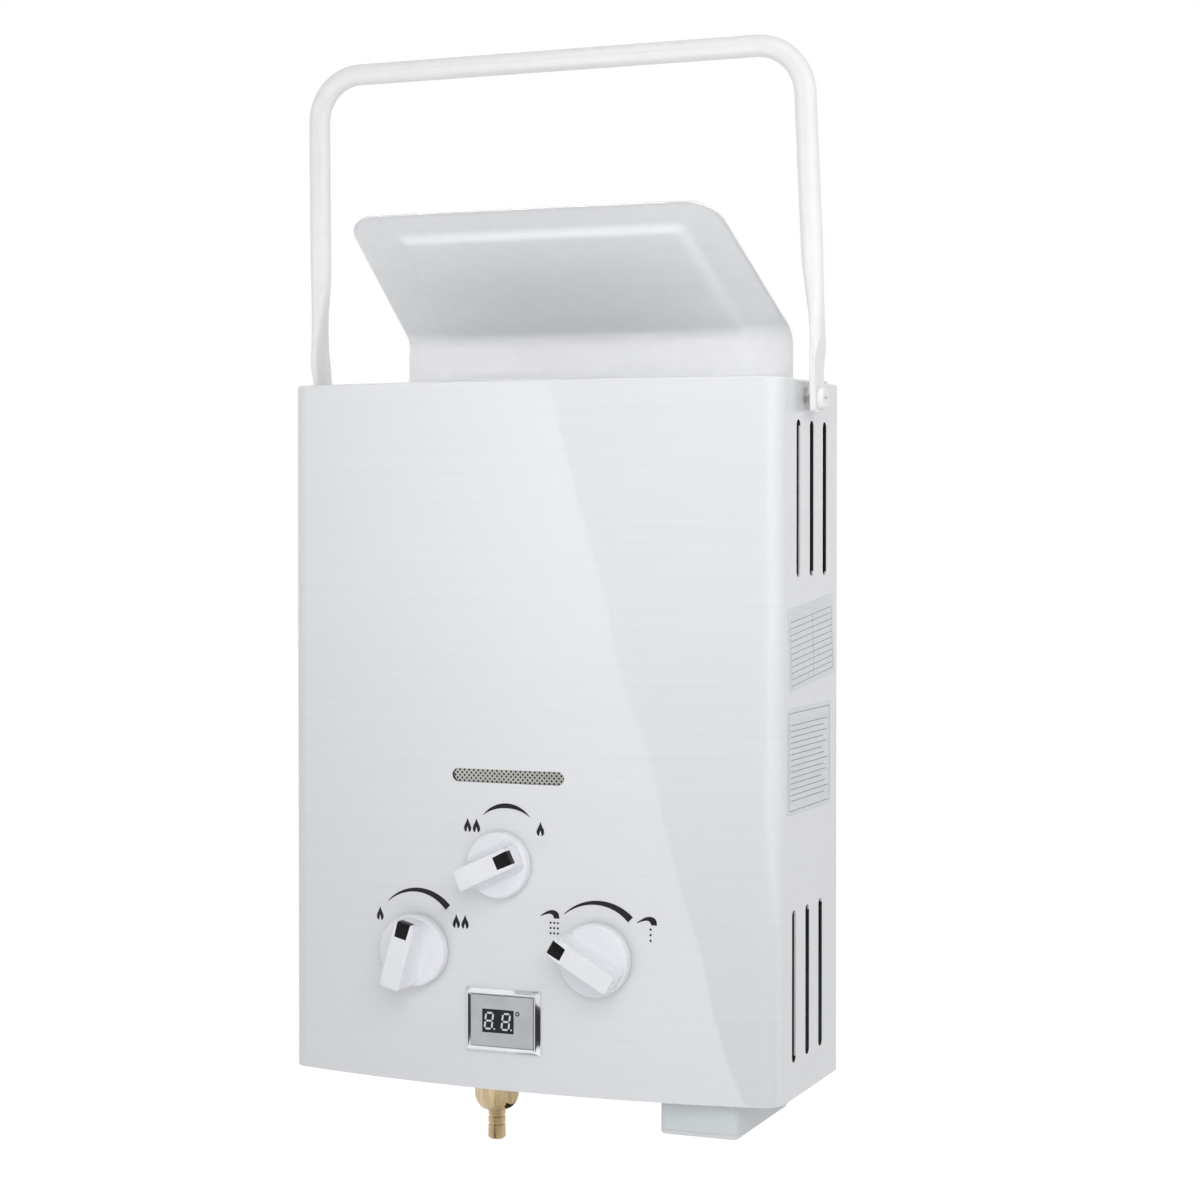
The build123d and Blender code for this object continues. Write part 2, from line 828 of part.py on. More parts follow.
with BuildPart() as flame_window_grille:
    with BuildSketch(Plane.XY.offset(window_z - window_height / 2 - grille_margin)):
        with BuildLine():
            grille_front = grille_arc(sheet + slip)
            grille_rear = grille_arc(sheet + slip + grille_sheet)
            Line(grille_front @ 0, grille_rear @ 0)
            Line(grille_front @ 1, grille_rear @ 1)
        make_face()
    extrude(amount=window_height + 2 * grille_margin)
    perforations_per_row = int(window_width / perforation_pitch)
    with BuildSketch(Plane.XZ.offset(case_depth)):
        with Locations((window_x, window_z)):
            with HexLocations(perforation_pitch / 2, perforations_per_row, perforation_rows):
                RegularPolygon(perforation, 6)
    extrude(amount=case_depth, mode=Mode.SUBTRACT)
flame_window_grille.part.label = "flame_window_grille"

# ---------------------------------------------------------------- gas and water valves

season_z = case_top - season_drop
gas_z = case_top - gas_drop
water_z = case_top - water_drop
chamber_top = case_top - chamber_drop
chamber_bottom = chamber_top - chamber_height
burner_top = chamber_bottom - burner_gap
burner_bottom = burner_top - burner_height
burner_front_y = -burner_back - burner_depth
rail_back_y = burner_front_y - nozzle_length - burner_sheet
rail_front_y = rail_back_y - rail_depth
rail_bottom = burner_bottom
season_valve_back_y = rail_front_y + season_valve_depth
season_valve_bottom = 2 * season_z - rail_bottom

with BuildPart() as season_valve:
    block(
        (season_x - season_valve_width / 2, rail_front_y, season_valve_bottom),
        (season_x + season_valve_width / 2, season_valve_back_y, rail_bottom),
    )
    chamfer(season_valve.edges().filter_by(Axis.Y), valve_edge)
    rod((season_x, rail_front_y, season_z), (0, -1, 0), season_boss_radius, season_boss_length)
    season_mouth = (season_x, rail_front_y - season_boss_length, season_z)
    rod(season_mouth, (0, 1, 0), spindle_radius + spindle_clearance, spindle_seat, Mode.SUBTRACT)
season_valve.part.label = "season_valve"

gas_valve_right = gas_valve_left + gas_valve_width
gas_valve_front_y = -gas_valve_back - gas_valve_depth
rod_z = case_top - rod_drop
gas_valve_z = rod_z - gas_valve_sink
gas_valve_bottom = gas_valve_z - gas_valve_height / 2
gas_valve_top = gas_valve_z + gas_valve_height / 2
water_valve_right = water_valve_left + water_valve_width
water_valve_front_y = -water_valve_back - water_valve_depth
water_valve_bottom = rod_z - water_valve_height / 2
water_valve_top = rod_z + water_valve_height / 2
rod_y = -gas_valve_back - gas_valve_depth / 2
housing_left = water_valve_left - housing_thickness
diaphragm_left = housing_left - diaphragm_thickness
cover_left = diaphragm_left - housing_thickness
gland_end_x = gas_valve_right + gland_length


def spindle_boss(mouth, valve_z, root):
    """The boss of a knob's spindle, bored from its mouth, with the web that ties it to the valve's middle."""
    x, mouth_y, z = mouth
    web_low = min(z, valve_z) - boss_radius
    web_high = max(z, valve_z) + boss_radius
    web_front = mouth_y + boss_length + valve_edge
    block((x - boss_radius, web_front, web_low), (x + boss_radius, root, web_high))
    rod((x, root, z), (0, -1, 0), boss_radius, root - mouth_y)
    rod(mouth, (0, 1, 0), spindle_radius + spindle_clearance, spindle_seat, Mode.SUBTRACT)


with BuildPart() as gas_valve_body:
    block(
        (gas_valve_left, gas_valve_front_y, gas_valve_bottom),
        (gas_valve_right, -gas_valve_back, gas_valve_top),
    )
    chamfer(gas_valve_body.edges().filter_by(Axis.Y), valve_edge)
    gas_mouth = (gas_x, gas_valve_front_y - boss_length, gas_z)
    spindle_boss(gas_mouth, gas_valve_z, -gas_valve_back - valve_edge)
    rod((gas_valve_right, rod_y, rod_z), (1, 0, 0), gland_radius, gland_length)
    gland_depth = gland_length + rod_seat + rod_travel + slip
    rod((gland_end_x, rod_y, rod_z), (-1, 0, 0), rod_radius + rod_clearance, gland_depth, Mode.SUBTRACT)
gas_valve_body.part.label = "gas_valve_body"

with BuildPart() as solenoid_valve:
    solenoid_z = gas_valve_bottom + solenoid_lift
    rod((gas_valve_left, rod_y, solenoid_z), (-1, 0, 0), solenoid_radius, solenoid_length)
    fillet(solenoid_valve.edges().sort_by(Axis.X)[0], valve_edge)
solenoid_valve.part.label = "solenoid_valve"

riser_y = (rail_front_y + season_valve_back_y) / 2

with BuildPart() as gas_riser:
    riser_top = season_z - riser_entry_drop
    riser_route = (
        (riser_x, riser_y, gas_valve_top),
        (riser_x, riser_y, riser_top),
        (season_x - season_valve_width / 2, riser_y, riser_top),
    )
    add(pipe(riser_route, riser_bend, riser_radius, riser_wall))
gas_riser.part.label = "gas_riser"

housing_screw_depth = housing_thickness + diaphragm_thickness + housing_screw_grip


def housing_places(x):
    """The housing screws' places on the plane across the housing at x, drilling towards +X."""
    with BuildSketch(Plane(origin=(x, rod_y, rod_z), x_dir=(0, 1, 0), z_dir=(1, 0, 0))) as places:
        with PolarLocations(housing_circle_radius, housing_screw_count, start_angle=housing_screw_start):
            Circle(housing_screw_radius)
    return places.sketch


with BuildPart() as water_valve_body:
    block(
        (water_valve_left, water_valve_front_y, water_valve_bottom),
        (water_valve_right, -water_valve_back, water_valve_top),
    )
    chamfer(water_valve_body.edges().filter_by(Axis.Y), valve_edge)
    water_mouth = (water_x, water_valve_front_y - boss_length, water_z)
    spindle_boss(water_mouth, rod_z, -water_valve_back - valve_edge)
    rod((housing_left, rod_y, rod_z), (1, 0, 0), housing_radius, housing_thickness)
    extrude(housing_places(housing_left), amount=housing_screw_grip, mode=Mode.SUBTRACT)
water_valve_body.part.label = "water_valve_body"

with BuildPart() as diaphragm:
    rod((diaphragm_left, rod_y, rod_z), (1, 0, 0), housing_radius, diaphragm_thickness)
    extrude(housing_places(diaphragm_left), amount=diaphragm_thickness, mode=Mode.SUBTRACT)
diaphragm.part.label = "diaphragm"

with BuildPart() as diaphragm_cover:
    rod((cover_left, rod_y, rod_z), (1, 0, 0), housing_radius, housing_thickness)
    fillet(diaphragm_cover.edges().sort_by(Axis.X)[0], valve_edge)
    rod((cover_left, rod_y, rod_z), (-1, 0, 0), gland_radius, gland_length)
    cavity_start = (diaphragm_left, rod_y, rod_z)
    rod(cavity_start, (-1, 0, 0), housing_cavity_radius, housing_cavity_depth, Mode.SUBTRACT)
    cover_bore = (cover_left - gland_length, rod_y, rod_z)
    rod(cover_bore, (1, 0, 0), rod_radius + rod_clearance, housing_thickness, Mode.SUBTRACT)
    extrude(housing_places(cover_left), amount=housing_thickness, mode=Mode.SUBTRACT)
diaphragm_cover.part.label = "diaphragm_cover"

with BuildPart() as diaphragm_screws:
    for place in housing_places(cover_left).faces():
        with Locations(Location(place.center(), (0, -90, 0))):
            add(screw(housing_screw_radius, housing_screw_depth, housing_head_radius, housing_head_height))
diaphragm_screws.part.label = "diaphragm_screws"

plate_right = diaphragm_left - slip
rod_left = gland_end_x - gland_length - rod_seat
collar_x = (gland_end_x + cover_left - gland_length) / 2 + rod_travel

with BuildPart() as push_rod:
    rod((rod_left, rod_y, rod_z), (1, 0, 0), rod_radius, plate_right - rod_left)
    rod((plate_right, rod_y, rod_z), (-1, 0, 0), rod_plate_radius, rod_plate_thickness)
    rod((collar_x, rod_y, rod_z), (-1, 0, 0), rod_collar_radius, rod_collar_thickness)
push_rod.part.label = "push_rod"

with BuildPart() as ignition_microswitch:
    switch_low_z = rod_z + gland_radius + 2 * slip
    block(
        (gas_valve_right, rod_y - switch_size[1] / 2, switch_low_z),
        (gas_valve_right + switch_size[0], rod_y + switch_size[1] / 2, switch_low_z + switch_size[2]),
    )
    lever_x = collar_x - rod_collar_thickness - rod_travel - switch_lever[0] - slip
    lever_low_z = rod_z + rod_collar_radius - switch_lever[0]
    block(
        (lever_x - switch_lever[0], rod_y - switch_lever[1] / 2, lever_low_z),
        (lever_x, rod_y + switch_lever[1] / 2, switch_low_z),
    )
ignition_microswitch.part.label = "ignition_microswitch"

# ---------------------------------------------------------------- knobs


def knob_plane(x, z, radius, angle):
    """A plane in front of the bowed panel, its y axis along the pointer (clockwise from up)."""
    nearest = max(abs(x) - radius, 0.0)
    turn = math.radians(angle)
    return Plane(
        origin=(x, front_y(nearest) - knob_gap, z),
        x_dir=(math.cos(turn), 0, -math.sin(turn)),
        z_dir=(0, -1, 0),
    )


def grip_solid(plane, radius, grip):
    """The raised bar of a knob, its ends trimmed to the disc."""
    with BuildPart() as bar:
        with BuildSketch(plane.offset(disc_height / 2)):
            RectangleRounded(grip[1] + grip_flare, grip[0] + grip_corner, grip_corner)
        with BuildSketch(plane.offset(knob_height)):
            RectangleRounded(grip[1], grip[0], grip_corner)
        loft()
        with BuildSketch(plane):
            Circle(radius)
        extrude(amount=knob_height, mode=Mode.INTERSECT)
    return bar.part


def pointer_box(plane, grip):
    """The space of the coloured insert at the pointer end of the bar."""
    with BuildPart() as box:
        with BuildSketch(plane.offset(knob_height - pointer_depth)):
            with Locations((0, grip[0] / 2 - pointer_length)):
                Rectangle(pointer_width, 2 * pointer_length, align=(Align.CENTER, Align.MIN))
        extrude(amount=2 * pointer_depth)
    return box.part


def knob_solid(x, z, radius, grip, angle):
    """A round skirt with a raised bar, bored for its spindle."""
    plane = knob_plane(x, z, radius, angle)
    with BuildPart() as knob:
        with BuildSketch(plane):
            Circle(radius)
        extrude(amount=disc_height)
        fillet(knob.edges().sort_by(Axis.Y)[0], disc_edge)
        add(grip_solid(plane, radius, grip))
        add(pointer_box(plane, grip), mode=Mode.SUBTRACT)
        rod(plane.origin, plane.z_dir, spindle_radius + spindle_clearance, spindle_grip, Mode.SUBTRACT)
    return knob.part


def pointer_solid(x, z, radius, grip, angle):
    """The coloured insert, flush with the bar's top and end."""
    plane = knob_plane(x, z, radius, angle)
    with BuildPart() as pointer:
        add(grip_solid(plane, radius, grip))
        add(pointer_box(plane, grip), mode=Mode.INTERSECT)
    return pointer.part


def spindle_solid(x, z, radius, mouth):
    """The valve spindle, from its seat in the valve to the inside of the knob."""
    knob_back_y = knob_plane(x, z, radius, 0).origin.Y
    inner_y = mouth[1] + spindle_seat - slip
    with BuildPart() as spindle:
        rod((x, inner_y, z), (0, -1, 0), spindle_radius, inner_y - knob_back_y + spindle_grip)
    return spindle.part


season_knob_sizes = (season_x, season_z, season_radius)
gas_knob_sizes = (gas_x, gas_z, gas_radius)
water_knob_sizes = (water_x, water_z, water_radius)

with BuildPart() as season_knob:
    add(knob_solid(*season_knob_sizes, season_grip, season_angle))
season_knob.part.label = "season_knob"

with BuildPart() as season_pointer:
    add(pointer_solid(*season_knob_sizes, season_grip, season_angle))
season_pointer.part.label = "season_pointer"

with BuildPart() as season_spindle:
    add(spindle_solid(*season_knob_sizes, season_mouth))
season_spindle.part.label = "season_spindle"

with BuildPart() as gas_knob:
    add(knob_solid(*gas_knob_sizes, gas_grip, gas_angle))
gas_knob.part.label = "gas_knob"

with BuildPart() as gas_pointer:
    add(pointer_solid(*gas_knob_sizes, gas_grip, gas_angle))
gas_pointer.part.label = "gas_pointer"

with BuildPart() as gas_spindle:
    add(spindle_solid(*gas_knob_sizes, gas_mouth))
gas_spindle.part.label = "gas_spindle"

with BuildPart() as water_knob:
    add(knob_solid(*water_knob_sizes, water_grip, water_angle))
water_knob.part.label = "water_knob"

with BuildPart() as water_pointer:
    add(pointer_solid(*water_knob_sizes, water_grip, water_angle))
water_pointer.part.label = "water_pointer"

with BuildPart() as water_spindle:
    add(spindle_solid(*water_knob_sizes, water_mouth))
water_spindle.part.label = "water_spindle"

# ---------------------------------------------------------------- display

bezel_left = display_x - bezel_width / 2
bezel_seat_y = front_y(max(min(0, display_x + bezel_width / 2), bezel_left))
bezel_plane = Plane(origin=(display_x, bezel_seat_y, display_z), x_dir=(1, 0, 0), z_dir=(0, -1, 0))
face_width = bezel_width - 2 * bezel_border
face_height = bezel_height - 2 * bezel_border
face_plane = bezel_plane.offset(bezel_thickness - face_recess - face_thickness)
inner_sleeve_width = sleeve_width - 2 * sleeve_wall
inner_sleeve_height = sleeve_height - 2 * sleeve_wall

with BuildPart() as display_bezel:
    with BuildSketch(bezel_plane):
        Rectangle(bezel_width, bezel_height)
    extrude(amount=bezel_thickness)
    chamfer(display_bezel.faces().sort_by(Axis.Y)[0].edges(), bezel_bevel)
    with BuildSketch(bezel_plane):
        Rectangle(sleeve_width, sleeve_height)
    extrude(amount=-sleeve_depth)
    with BuildSketch(bezel_plane.offset(-sleeve_depth)):
        Rectangle(inner_sleeve_width, inner_sleeve_height)
    extrude(amount=sleeve_depth, mode=Mode.SUBTRACT)
    with BuildSketch(bezel_plane):
        Rectangle(face_width, face_height)
    extrude(amount=bezel_thickness, mode=Mode.SUBTRACT)
display_bezel.part.label = "display_bezel"

with BuildPart() as display_face:
    with BuildSketch(face_plane):
        Rectangle(face_width, face_height)
        with Locations((lens_x - display_x, 0)):
            Rectangle(lens_width, lens_height, mode=Mode.SUBTRACT)
    extrude(amount=face_thickness)
display_face.part.label = "display_face"

with BuildPart() as display_lens:
    with BuildSketch(face_plane):
        with Locations((lens_x - display_x, 0)):
            Rectangle(lens_width, lens_height)
    extrude(amount=face_thickness)
display_lens.part.label = "display_lens"

with BuildPart() as display_module:
    with BuildSketch(bezel_plane.offset(-sleeve_depth)):
        Rectangle(sleeve_width, sleeve_height)
    extrude(amount=-board_thickness)
    with BuildSketch(bezel_plane.offset(-sleeve_depth)):
        with Locations((lens_x - display_x, 0)):
            Rectangle(led_width, led_height)
    extrude(amount=sleeve_depth + bezel_thickness - face_recess - face_thickness)
display_module.part.label = "display_module"

# ---------------------------------------------------------------- labels

with BuildPart() as side_labels:
    with BuildSketch(Plane.YZ.offset(half_width)):
        with Locations((-rating_label_depth, case_top - rating_label_drop)):
            RectangleRounded(rating_label_width, rating_label_height, label_corner, rotation=rating_label_tilt)
        with Locations((-notice_label_depth, case_top - notice_label_drop)):
            RectangleRounded(notice_label_width, notice_label_height, label_corner)
    extrude(amount=label_thickness)
side_labels.part.label = "side_labels"

# ---------------------------------------------------------------- battery box

battery_bottom = case_bottom - battery_reach
cover_top = battery_bottom + battery_cover_thickness
cells_height = 4 * cell_radius + 3 * cell_gap
battery_top = cover_top + cells_height + battery_wall
hinge_y = -hinge_setback
hinge_z = cover_top + hinge_lift
cell_total = cell_length + cell_nub_height
cell_bay = cell_total + 2 * (contact_thickness + contact_pad)
bay_front_y = battery_mid_y - cell_bay / 2
bay_back_y = battery_mid_y + cell_bay / 2
ear_back_y = hinge_y + knuckle_radius

with BuildPart() as battery_box:
    with BuildSketch(Plane.XY.offset(cover_top)):
        with Locations((battery_x, battery_mid_y)):
            RectangleRounded(battery_width, battery_length, battery_corner)
    extrude(amount=battery_top - cover_top)
    # rim that rests on the base plate
    with BuildSketch(Plane.XY.offset(base_top)):
        with Locations((battery_x, battery_mid_y)):
            RectangleRounded(
                battery_width + 2 * battery_rim, battery_length + 2 * battery_rim, battery_corner
            )
    extrude(amount=battery_wall)
    with BuildSketch(Plane.XY.offset(cover_top)):
        with Locations((battery_x, battery_mid_y)):
            RectangleRounded(
                battery_width - 2 * battery_wall,
                battery_length - 2 * battery_wall,
                battery_corner - battery_wall,
            )
    extrude(amount=cells_height, mode=Mode.SUBTRACT)
    # cross walls at both ends of the cell bay
    for wall_y in (bay_front_y - battery_wall, bay_back_y):
        block(
            (battery_left + battery_wall, wall_y, cover_top + battery_wall),
            (battery_right - battery_wall, wall_y + battery_wall, battery_top - battery_wall),
        )
    # ears that carry the cover's hinge pin
    for ear_x in (battery_left, battery_right - battery_wall):
        block(
            (ear_x, -battery_back - battery_corner, cover_top),
            (ear_x + battery_wall, ear_back_y, base_under),
        )
    rod((battery_left, hinge_y, hinge_z), (1, 0, 0), hinge_pin_radius, battery_width, Mode.SUBTRACT)
battery_box.part.label = "battery_box"

with BuildPart() as battery_hinge_pin:
    rod((battery_left, hinge_y, hinge_z), (1, 0, 0), hinge_pin_radius, battery_width)
battery_hinge_pin.part.label = "battery_hinge_pin"

knuckle_left = battery_left + battery_wall + slip
knuckle_length = battery_width - 2 * (battery_wall + slip)

with BuildPart() as battery_cover:
    with BuildSketch(Plane.XY.offset(battery_bottom)):
        with Locations((battery_x, battery_mid_y)):
            RectangleRounded(battery_width, battery_length, battery_corner)
    extrude(amount=battery_cover_thickness - battery_cover_gap)
    fillet(battery_cover.edges().group_by(Axis.Z)[0], battery_cover_edge)
    block(
        (knuckle_left, -battery_back - battery_corner, battery_bottom),
        (knuckle_left + knuckle_length, hinge_y, cover_top - battery_cover_gap),
    )
    rod((knuckle_left, hinge_y, hinge_z), (1, 0, 0), knuckle_radius, knuckle_length)
    block(
        (knuckle_left, hinge_y - battery_cover_thickness / 2, battery_bottom),
        (knuckle_left + knuckle_length, hinge_y + battery_cover_thickness / 2, hinge_z),
    )
    pin_bore = hinge_pin_radius + hinge_clearance
    rod((knuckle_left, hinge_y, hinge_z), (1, 0, 0), pin_bore, knuckle_length, Mode.SUBTRACT)
battery_cover.part.label = "battery_cover"

cell_front_y = battery_mid_y - cell_total / 2
cell_back_y = battery_mid_y + cell_total / 2
cell_centres = (
    cover_top + cell_gap + cell_radius,
    cover_top + 2 * cell_gap + 3 * cell_radius,
)

with BuildPart() as battery_cells:
    for cell_z in cell_centres:
        rod((battery_x, cell_front_y, cell_z), (0, 1, 0), cell_radius, cell_length)
    fillet(battery_cells.edges().filter_by(GeomType.CIRCLE), cell_edge)
    for cell_z in cell_centres:
        rod((battery_x, cell_front_y + cell_length, cell_z), (0, 1, 0), cell_nub_radius, cell_nub_height)
battery_cells.part.label = "battery_cells"

with BuildPart() as battery_contacts:
    for cell_z in cell_centres:
        for wall_y, pad_direction in ((bay_front_y, 1), (bay_back_y, -1)):
            plate_y = min(wall_y, wall_y + pad_direction * contact_thickness)
            block(
                (battery_x - contact_size / 2, plate_y, cell_z - contact_size / 2),
                (battery_x + contact_size / 2, plate_y + contact_thickness, cell_z + contact_size / 2),
            )
            pad_start = (battery_x, wall_y + pad_direction * contact_thickness, cell_z)
            rod(pad_start, (0, pad_direction, 0), cell_nub_radius, contact_pad)
battery_contacts.part.label = "battery_contacts"

# ---------------------------------------------------------------- fittings through the base

collar_top = base_top + fitting_collar_height
thread_top = base_under - fitting_neck_reach


def bulkhead_fitting(x, depth, top, bottom):
    """A pipe stub with a collar on the base plate, a neck through it and a male thread below."""
    with BuildPart() as fitting:
        rod((x, -depth, top), (0, 0, -1), fitting_pipe_radius, top - bottom)
        hexagon((x, -depth, base_top), (0, 0, 1), 2 * fitting_collar_radius, fitting_collar_height)
        rod((x, -depth, base_top), (0, 0, -1), fitting_neck_radius, base_top - thread_top)
        rod((x, -depth, thread_top), (0, 0, -1), fitting_thread_radius, thread_top - bottom)
        chamfer(fitting.edges().group_by(Axis.Z)[0], fitting_chamfer)
        rod((x, -depth, bottom), (0, 0, 1), fitting_bore, top - bottom, Mode.SUBTRACT)
    return fitting.part


gas_thread_bottom = case_bottom - gas_thread_reach
water_thread_bottom = case_bottom - water_thread_reach
outlet_top = case_bottom + water_outlet_top

with BuildPart() as gas_inlet_stub:
    add(bulkhead_fitting(gas_inlet_x, gas_inlet_depth, gas_valve_bottom, gas_thread_bottom))
gas_inlet_stub.part.label = "gas_inlet_stub"

with BuildPart() as water_fittings:
    add(bulkhead_fitting(water_inlet_x, water_inlet_depth, water_valve_bottom, water_thread_bottom))
    add(bulkhead_fitting(water_outlet_x, water_outlet_depth, outlet_top, water_thread_bottom))
water_fittings.part.label = "water_fittings"

with BuildPart() as drain_plug:
    drain_stem = water_valve_bottom - base_under
    rod((drain_x, -drain_depth, water_valve_bottom), (0, 0, -1), drain_stem_radius, drain_stem)
    with BuildSketch(Plane.XY.offset(base_under)):
        with Locations((drain_x, -drain_depth)):
            Circle(drain_head_radius)
            with PolarLocations(drain_head_radius, drain_grips):
                Circle(drain_grip_radius, mode=Mode.SUBTRACT)
    extrude(amount=-drain_head_height)
drain_plug.part.label = "drain_plug"

nut_top = case_bottom - nut_top_reach
nut_bottom = nut_top - nut_height
nut_floor_top = nut_bottom + nut_floor
nipple_collar_top = nut_floor_top + nipple_collar_height
gas_axis = (gas_inlet_x, -gas_inlet_depth)

with BuildPart() as gas_union_nut:
    with BuildSketch(Plane.XY.offset(nut_bottom)):
        with Locations(gas_axis):
            RegularPolygon(nut_corner_radius, 6, rotation=nut_turn)
    extrude(amount=nut_height)
    # round the lower corners to a ball and ease the top corners
    ball_z = nut_bottom + nut_height / 2
    dome_floor = math.sqrt(nut_corner_radius**2 - (nut_height / 2) ** 2)
    nut_side_x = gas_inlet_x + nut_corner_radius
    with BuildSketch(Plane.XZ.offset(gas_inlet_depth)):
        with BuildLine():
            RadiusArc((gas_inlet_x + dome_floor, nut_bottom), (nut_side_x, ball_z), -nut_corner_radius)
            Polyline(
                (nut_side_x, ball_z),
                (nut_side_x, nut_top - nut_chamfer),
                (nut_side_x - nut_chamfer, nut_top),
                (gas_inlet_x, nut_top),
                (gas_inlet_x, nut_bottom),
                (gas_inlet_x + dome_floor, nut_bottom),
            )
        make_face()
    revolve(axis=Axis((gas_inlet_x, -gas_inlet_depth, 0), (0, 0, 1)), mode=Mode.INTERSECT)
    nut_bore = fitting_thread_radius + nut_clearance
    rod((*gas_axis, nut_floor_top), (0, 0, 1), nut_bore, nut_height, Mode.SUBTRACT)
    rod((*gas_axis, nut_bottom), (0, 0, 1), nipple_neck_radius + nut_clearance, nut_height, Mode.SUBTRACT)
gas_union_nut.part.label = "gas_union_nut"

with BuildPart() as gas_hose_nipple:
    rod((*gas_axis, nut_floor_top), (0, 0, 1), nipple_collar_radius, nipple_collar_height)
    neck_bottom = nut_bottom - nipple_neck_length
    rod((*gas_axis, neck_bottom), (0, 0, 1), nipple_neck_radius, nut_floor_top - neck_bottom)
    rod((*gas_axis, neck_bottom), (0, 0, -1), nipple_radius, nipple_length)
    chamfer(gas_hose_nipple.edges().group_by(Axis.Z)[0], nipple_tip_chamfer)
    for groove in (1, 2):
        groove_z = neck_bottom - groove * groove_pitch
        with BuildSketch(Plane.XY.offset(groove_z)):
            with Locations(gas_axis):
                Circle(nipple_radius)
                Circle(nipple_radius - groove_depth, mode=Mode.SUBTRACT)
        extrude(amount=groove_width, mode=Mode.SUBTRACT)
    rod((*gas_axis, neck_bottom - nipple_length), (0, 0, 1), nipple_bore, case_height, Mode.SUBTRACT)
gas_hose_nipple.part.label = "gas_hose_nipple"

with BuildPart() as gas_seal:
    rod((*gas_axis, nipple_collar_top), (0, 0, 1), nipple_collar_radius, gas_thread_bottom - nipple_collar_top)
    rod((*gas_axis, nipple_collar_top), (0, 0, 1), fitting_bore, seal_thickness, Mode.SUBTRACT)
gas_seal.part.label = "gas_seal"

# ---------------------------------------------------------------- exchanger

chamber_front_y = -chamber_back - chamber_depth
chamber_mid_y = -chamber_back - chamber_depth / 2
tube_z = case_top - tube_drop
tube_rows_y = (chamber_mid_y + tube_pitch, chamber_mid_y, chamber_mid_y - tube_pitch)
wall_x = chamber_width / 2
tube_end_x = wall_x + block_overhang

with BuildPart() as exchanger_shell:
    with BuildSketch(Plane.XY.offset(chamber_bottom)):
        with Locations((0, chamber_mid_y)):
            RectangleRounded(chamber_width, chamber_depth, chamber_corner)
            RectangleRounded(
                chamber_width - 2 * chamber_sheet,
                chamber_depth - 2 * chamber_sheet,
                chamber_corner - chamber_sheet,
                mode=Mode.SUBTRACT,
            )
    extrude(amount=chamber_height)
    for row_y in tube_rows_y:
        tube_hole = tube_radius + tube_clearance
        rod((-chamber_width, row_y, tube_z), (1, 0, 0), tube_hole, 2 * chamber_width, Mode.SUBTRACT)
exchanger_shell.part.label = "exchanger_shell"

fin_span = chamber_width - 2 * (chamber_sheet + fin_end_margin)
fin_count = int(fin_span / fin_pitch) + 1
fin_depth = chamber_depth - 2 * (chamber_sheet + fin_edge)

with BuildPart() as one_fin:
    with BuildSketch(Plane.YZ.offset(-fin_thickness / 2)):
        with Locations((chamber_mid_y, tube_z)):
            RectangleRounded(fin_depth, fin_height, fin_corner)
        for row_y in tube_rows_y:
            with Locations((row_y, tube_z)):
                Circle(tube_radius + tube_clearance, mode=Mode.SUBTRACT)
    extrude(amount=fin_thickness)

with BuildPart() as exchanger_fins:
    with GridLocations(fin_pitch, 1, fin_count, 1):
        add(one_fin.part)
exchanger_fins.part.label = "exchanger_fins"

with BuildPart() as exchanger_tubes:
    bend_x = wall_x + tube_end_margin
    with BuildLine() as tube_route:
        Line((tube_end_x, tube_rows_y[0], tube_z), (-bend_x, tube_rows_y[0], tube_z))
        ThreePointArc(
            (-bend_x, tube_rows_y[0], tube_z),
            (-bend_x - tube_pitch / 2, (tube_rows_y[0] + tube_rows_y[1]) / 2, tube_z),
            (-bend_x, tube_rows_y[1], tube_z),
        )
        Line((-bend_x, tube_rows_y[1], tube_z), (bend_x, tube_rows_y[1], tube_z))
        ThreePointArc(
            (bend_x, tube_rows_y[1], tube_z),
            (bend_x + tube_pitch / 2, (tube_rows_y[1] + tube_rows_y[2]) / 2, tube_z),
            (bend_x, tube_rows_y[2], tube_z),
        )
        Line((bend_x, tube_rows_y[2], tube_z), (-tube_end_x, tube_rows_y[2], tube_z))
    with BuildSketch(Plane(origin=tube_route.line @ 0, z_dir=tube_route.line % 0)):
        Circle(tube_radius)
        Circle(tube_radius - tube_wall, mode=Mode.SUBTRACT)
    sweep(path=tube_route.line)
exchanger_tubes.part.label = "exchanger_tubes"

block_half_width = tube_radius + block_overhang
block_bottom = tube_z - block_height / 2

with BuildPart() as exchanger_blocks:
    for block_x, row_y in ((tube_end_x, tube_rows_y[0]), (-tube_end_x - block_length, tube_rows_y[2])):
        block(
            (block_x, row_y - block_half_width, block_bottom),
            (block_x + block_length, row_y + block_half_width, block_bottom + block_height),
        )
    fillet(exchanger_blocks.edges().filter_by(Axis.X), valve_edge)
exchanger_blocks.part.label = "exchanger_blocks"

# Cold pipe: up from the water valve, round the chamber, into the inlet block
coil_offset = coil_clearance + coil_radius
coil_x = wall_x + coil_offset
coil_back_y = -chamber_back + coil_offset
coil_front_y = chamber_front_y - coil_offset
coil_start_z = chamber_bottom + coil_start_lift
lead_x = water_valve_right - coil_radius - valve_edge
lead_y = -water_inlet_depth

